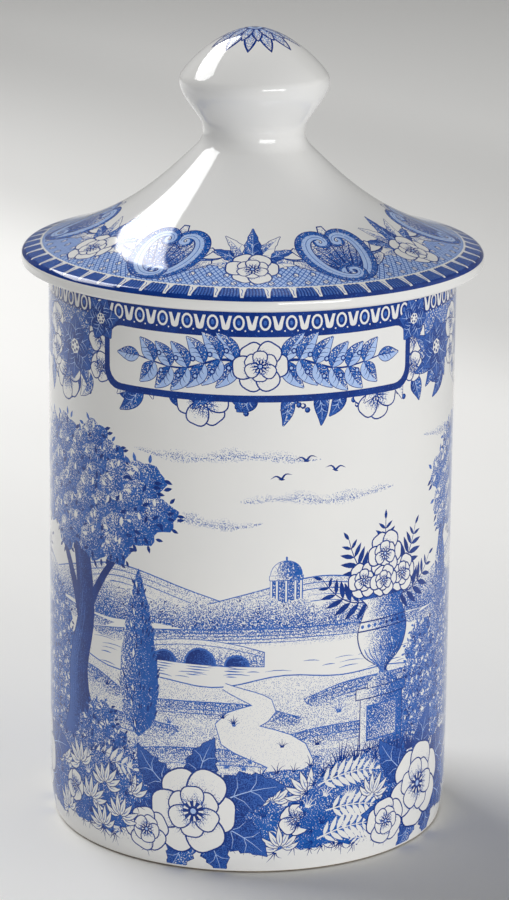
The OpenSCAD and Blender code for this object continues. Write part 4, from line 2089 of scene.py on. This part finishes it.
    def draw_crown(self, pen: Engraver, crown: Stretch) -> None:
        """Draw the rosette on the knob.

        Args:
            pen: The engraver.
            crown: The printed stretch.
        """
        share = steps(9)
        for row, reach, width in ((0, 7.1, 1.7), (1, 5.0, 1.3)):
            path = np.column_stack([self.petal_start + (reach - self.petal_start) * share, 0 * share])
            full = width * np.sin(np.pi * (0.12 + 0.86 * share**1.25))
            for k in range(self.petal_count):
                turn = self.crown_turn + math.tau * (k + 0.5 * row) / self.petal_count
                spot = CrownSpot(stretch=crown, angle=turn)
                pen.sheet.line(path * (1.07, 1), full + 0.6 * (1 - share**6), Tone.DEEP, spot)
                pen.sheet.fill(ribbon(path, full), Tone.STIPPLE, spot, sideways(1, reach, 0.55, 0.2))
                pen.sheet.line(path[1:7], np.linspace(0.4, 0.1, 6), Tone.PALE, spot)
        span, end = crown.sheet.span, crown.runs()[-1]
        for radius, tone in ((1.7, Tone.DEEP), (1.2, Tone.PALE), (0.6, Tone.DEEP)):
            pen.sheet.fill(block(-span, crown.run_at(radius), span, end + 1), tone)

    def build(self) -> bpy.types.Object:
        """Make the lid with its print.

        Returns:
            The new object.
        """
        dice = random.Random(self.seed)
        flare = Stretch(self.flare(), sheet=PrintSheet(self.rim_r * math.tau))
        middle = (self.waist_r - self.waist_round, self.waist_z)
        edge = arc(middle, self.waist_round, 0, 90 - self.dome_slope, 6)
        foot, lean = edge[-1], math.radians(self.dome_slope)
        guide = (foot[0] - self.dome_run * math.cos(lean), foot[1] + self.dome_run * math.sin(lean))
        dome = edge[:-1] + bezier((foot, guide, (self.crown_run, self.top_z), (0, self.top_z)), 15)
        crown = Stretch(dome, sheet=PrintSheet(self.waist_r * math.tau))
        pen = Engraver(flare.sheet, dice)
        self.draw_scrolls(pen, flare)
        self.draw_rim(pen, flare)
        self.draw_crown(Engraver(crown.sheet, dice), crown)
        piece = Turning("lid_shell", self.outline(flare, crown)).build(fired_materials())
        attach(piece, "cover")
        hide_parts("lid")
        return piece


@dataclass
class SealRing:
    """The soft ring on the lid's spigot, with three fins that grip the bore."""

    bore_r: float = 27.48
    band_r: float = 28.68
    low_z: float = 89.35
    high_z: float = 95.75
    fin_r: float = 30.1
    fin_count: int = 3
    root: float = 1.0
    tip: float = 0.5
    rise: float = 0.4

    def build(self) -> bpy.types.Object:
        """Make the ring.

        Returns:
            The new object.
        """
        pitch = (self.high_z - self.low_z) / self.fin_count
        outer = [(self.band_r, self.low_z)]
        for k in range(self.fin_count):
            z = self.low_z + pitch * (k + 0.5)
            nose = arc((self.fin_r - self.tip / 2, z + self.rise), self.tip / 2, -90, 90, 7)
            outer += [(self.band_r, z - self.root / 2)] + nose + [(self.band_r, z + self.root / 2)]
        outer.append((self.band_r, self.high_z))
        bore = [(self.band_r, self.high_z), (self.bore_r, self.high_z), (self.bore_r, self.low_z),
                (self.band_r, self.low_z)]
        loop = [Stretch([a, b], crisp=True) for a, b in zip(bore[:-1], bore[1:])]
        piece = Turning("seal_band", [Stretch(outer, crisp=True)] + loop).build([SEAL_RUBBER.material()])
        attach(piece, "seal")
        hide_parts("seal_ring")
        return piece


@dataclass(frozen=True)
class SoftBox:
    """A soft box that faces the jar, in metres and watts."""

    name: str
    at: tuple[float, float, float]
    size: Place
    power: float
    aim: tuple[float, float, float] = (0.0, 0.0, 0.08)

    def hang(self) -> bpy.types.Object:
        """Hang the box.

        Returns:
            The lamp.
        """
        data = bpy.data.lights.new(self.name, "AREA")
        data.shape = "RECTANGLE"
        data.size, data.size_y = self.size
        data.energy = self.power
        lamp = bpy.data.objects.new(self.name, data)
        lamp.location = self.at
        lamp.rotation_euler = (Vector(self.aim) - Vector(self.at)).to_track_quat("-Z", "Y").to_euler()
        bpy.context.scene.collection.objects.link(lamp)
        return lamp


@dataclass
class Studio:
    """The sweep, the lamps and the camera."""

    camera_at: tuple[float, float, float] = (0.0, -0.5907, 0.2263)
    focal_px: float = 3626.8
    yaw: float = 0.0010456
    pitch: float = 0.269526
    roll: float = 0.0100449
    sweep_front: float = -2.0
    sweep_back: float = 1.25
    sweep_bend: float = 0.6
    sweep_top: float = 2.6
    sweep_half: float = 2.5
    side_box: SoftBox = SoftBox("side box", (-0.504, 0.423, 0.70), (0.69, 0.35), 6.8)
    front_box: SoftBox = SoftBox("front box", (0.45, -0.78, 0.17), (0.58, 0.25), 4.5)
    soft_light: tuple[float, float] = (0.145, 0.744)

    def build_camera(self) -> None:
        """Place the camera at the photograph's viewing angle."""
        data = bpy.data.cameras.new("camera")
        data.lens = self.focal_px * SENSOR_MM / max(PHOTO_SIZE)
        data.sensor_width = SENSOR_MM
        camera = bpy.data.objects.new("camera", data)
        bpy.context.scene.collection.objects.link(camera)
        level = math.cos(self.pitch)
        ahead = Vector((math.sin(self.yaw) * level, math.cos(self.yaw) * level, -math.sin(self.pitch)))
        right = ahead.cross(Vector((0, 0, 1))).normalized()
        up = right.cross(ahead)
        cos, sin = math.cos(self.roll), math.sin(self.roll)
        axes = Matrix((right * cos + up * sin, up * cos - right * sin, -ahead)).transposed()
        camera.matrix_world = Matrix.Translation(self.camera_at) @ axes.to_4x4()
        bpy.context.scene.camera = camera

    def build_sweep(self) -> bpy.types.Object:
        """Lay the pale floor, which turns up into a backdrop.

        Returns:
            The sweep.
        """
        back, bend = self.sweep_back, self.sweep_bend
        turn = np.radians(np.linspace(6, 90, 14))
        curve = [(back + bend * math.sin(a), bend - bend * math.cos(a)) for a in turn]
        profile = [(self.sweep_front, 0.0), (back, 0.0)] + curve + [(back + bend, self.sweep_top)]
        points = [(x, y, z) for y, z in profile for x in (-self.sweep_half, self.sweep_half)]
        faces = [(2 * k, 2 * k + 1, 2 * k + 3, 2 * k + 2) for k in range(len(profile) - 1)]
        mesh = bpy.data.meshes.new("sweep")
        mesh.from_pydata(points, [], faces)
        mesh.polygons.foreach_set("use_smooth", [True] * len(faces))
        mesh.materials.append(PaintedLightPaper().material())
        sweep = bpy.data.objects.new("sweep", mesh)
        bpy.context.scene.collection.objects.link(sweep)
        return sweep

    def build_light(self, sweep: bpy.types.Object) -> None:
        """Hang the lamps, and set the soft light all round, which is stronger from the right.

        Args:
            sweep: The sweep, which the front box is kept off.
        """
        self.side_box.hang()
        front = self.front_box.hang()
        flagged = bpy.data.collections.new("kept off the front box")
        flagged.objects.link(sweep)
        flagged.collection_objects[0].light_linking.link_state = "EXCLUDE"
        front.light_linking.receiver_collection = flagged
        world = bpy.data.worlds.new("studio")
        world.use_nodes = True
        tree = world.node_tree
        where = add_node(tree, "ShaderNodeTexCoord")
        parts = add_node(tree, "ShaderNodeSeparateXYZ")
        left, right = self.soft_light
        grade = add_node(tree, "ShaderNodeMapRange", {"To Min": left, "To Max": right})
        glow = tree.nodes["Background"]
        glow.inputs["Color"].default_value = (1.0, 1.0, 1.0, 1)
        join(
            tree,
            (where.outputs["Generated"], parts.inputs["Vector"]),
            (parts.outputs["X"], grade.inputs["Value"]),
            (grade.outputs["Result"], glow.inputs["Strength"]),
        )
        bpy.context.scene.world = world
        bpy.context.scene.view_settings.view_transform = "Standard"

    def build(self) -> None:
        """Build the whole studio."""
        self.build_camera()
        self.build_light(self.build_sweep())


def main() -> None:
    """Build the jar, its seal, its lid and the studio."""
    logging.basicConfig(level=logging.INFO, format="%(name)s: %(message)s")
    for maker in (JarBody(), SealRing(), JarLid()):
        piece = maker.build()
        log.info("%s made as %s", type(maker).__name__, piece.name)
    Studio().build()


if __name__ == "__main__":
    main()
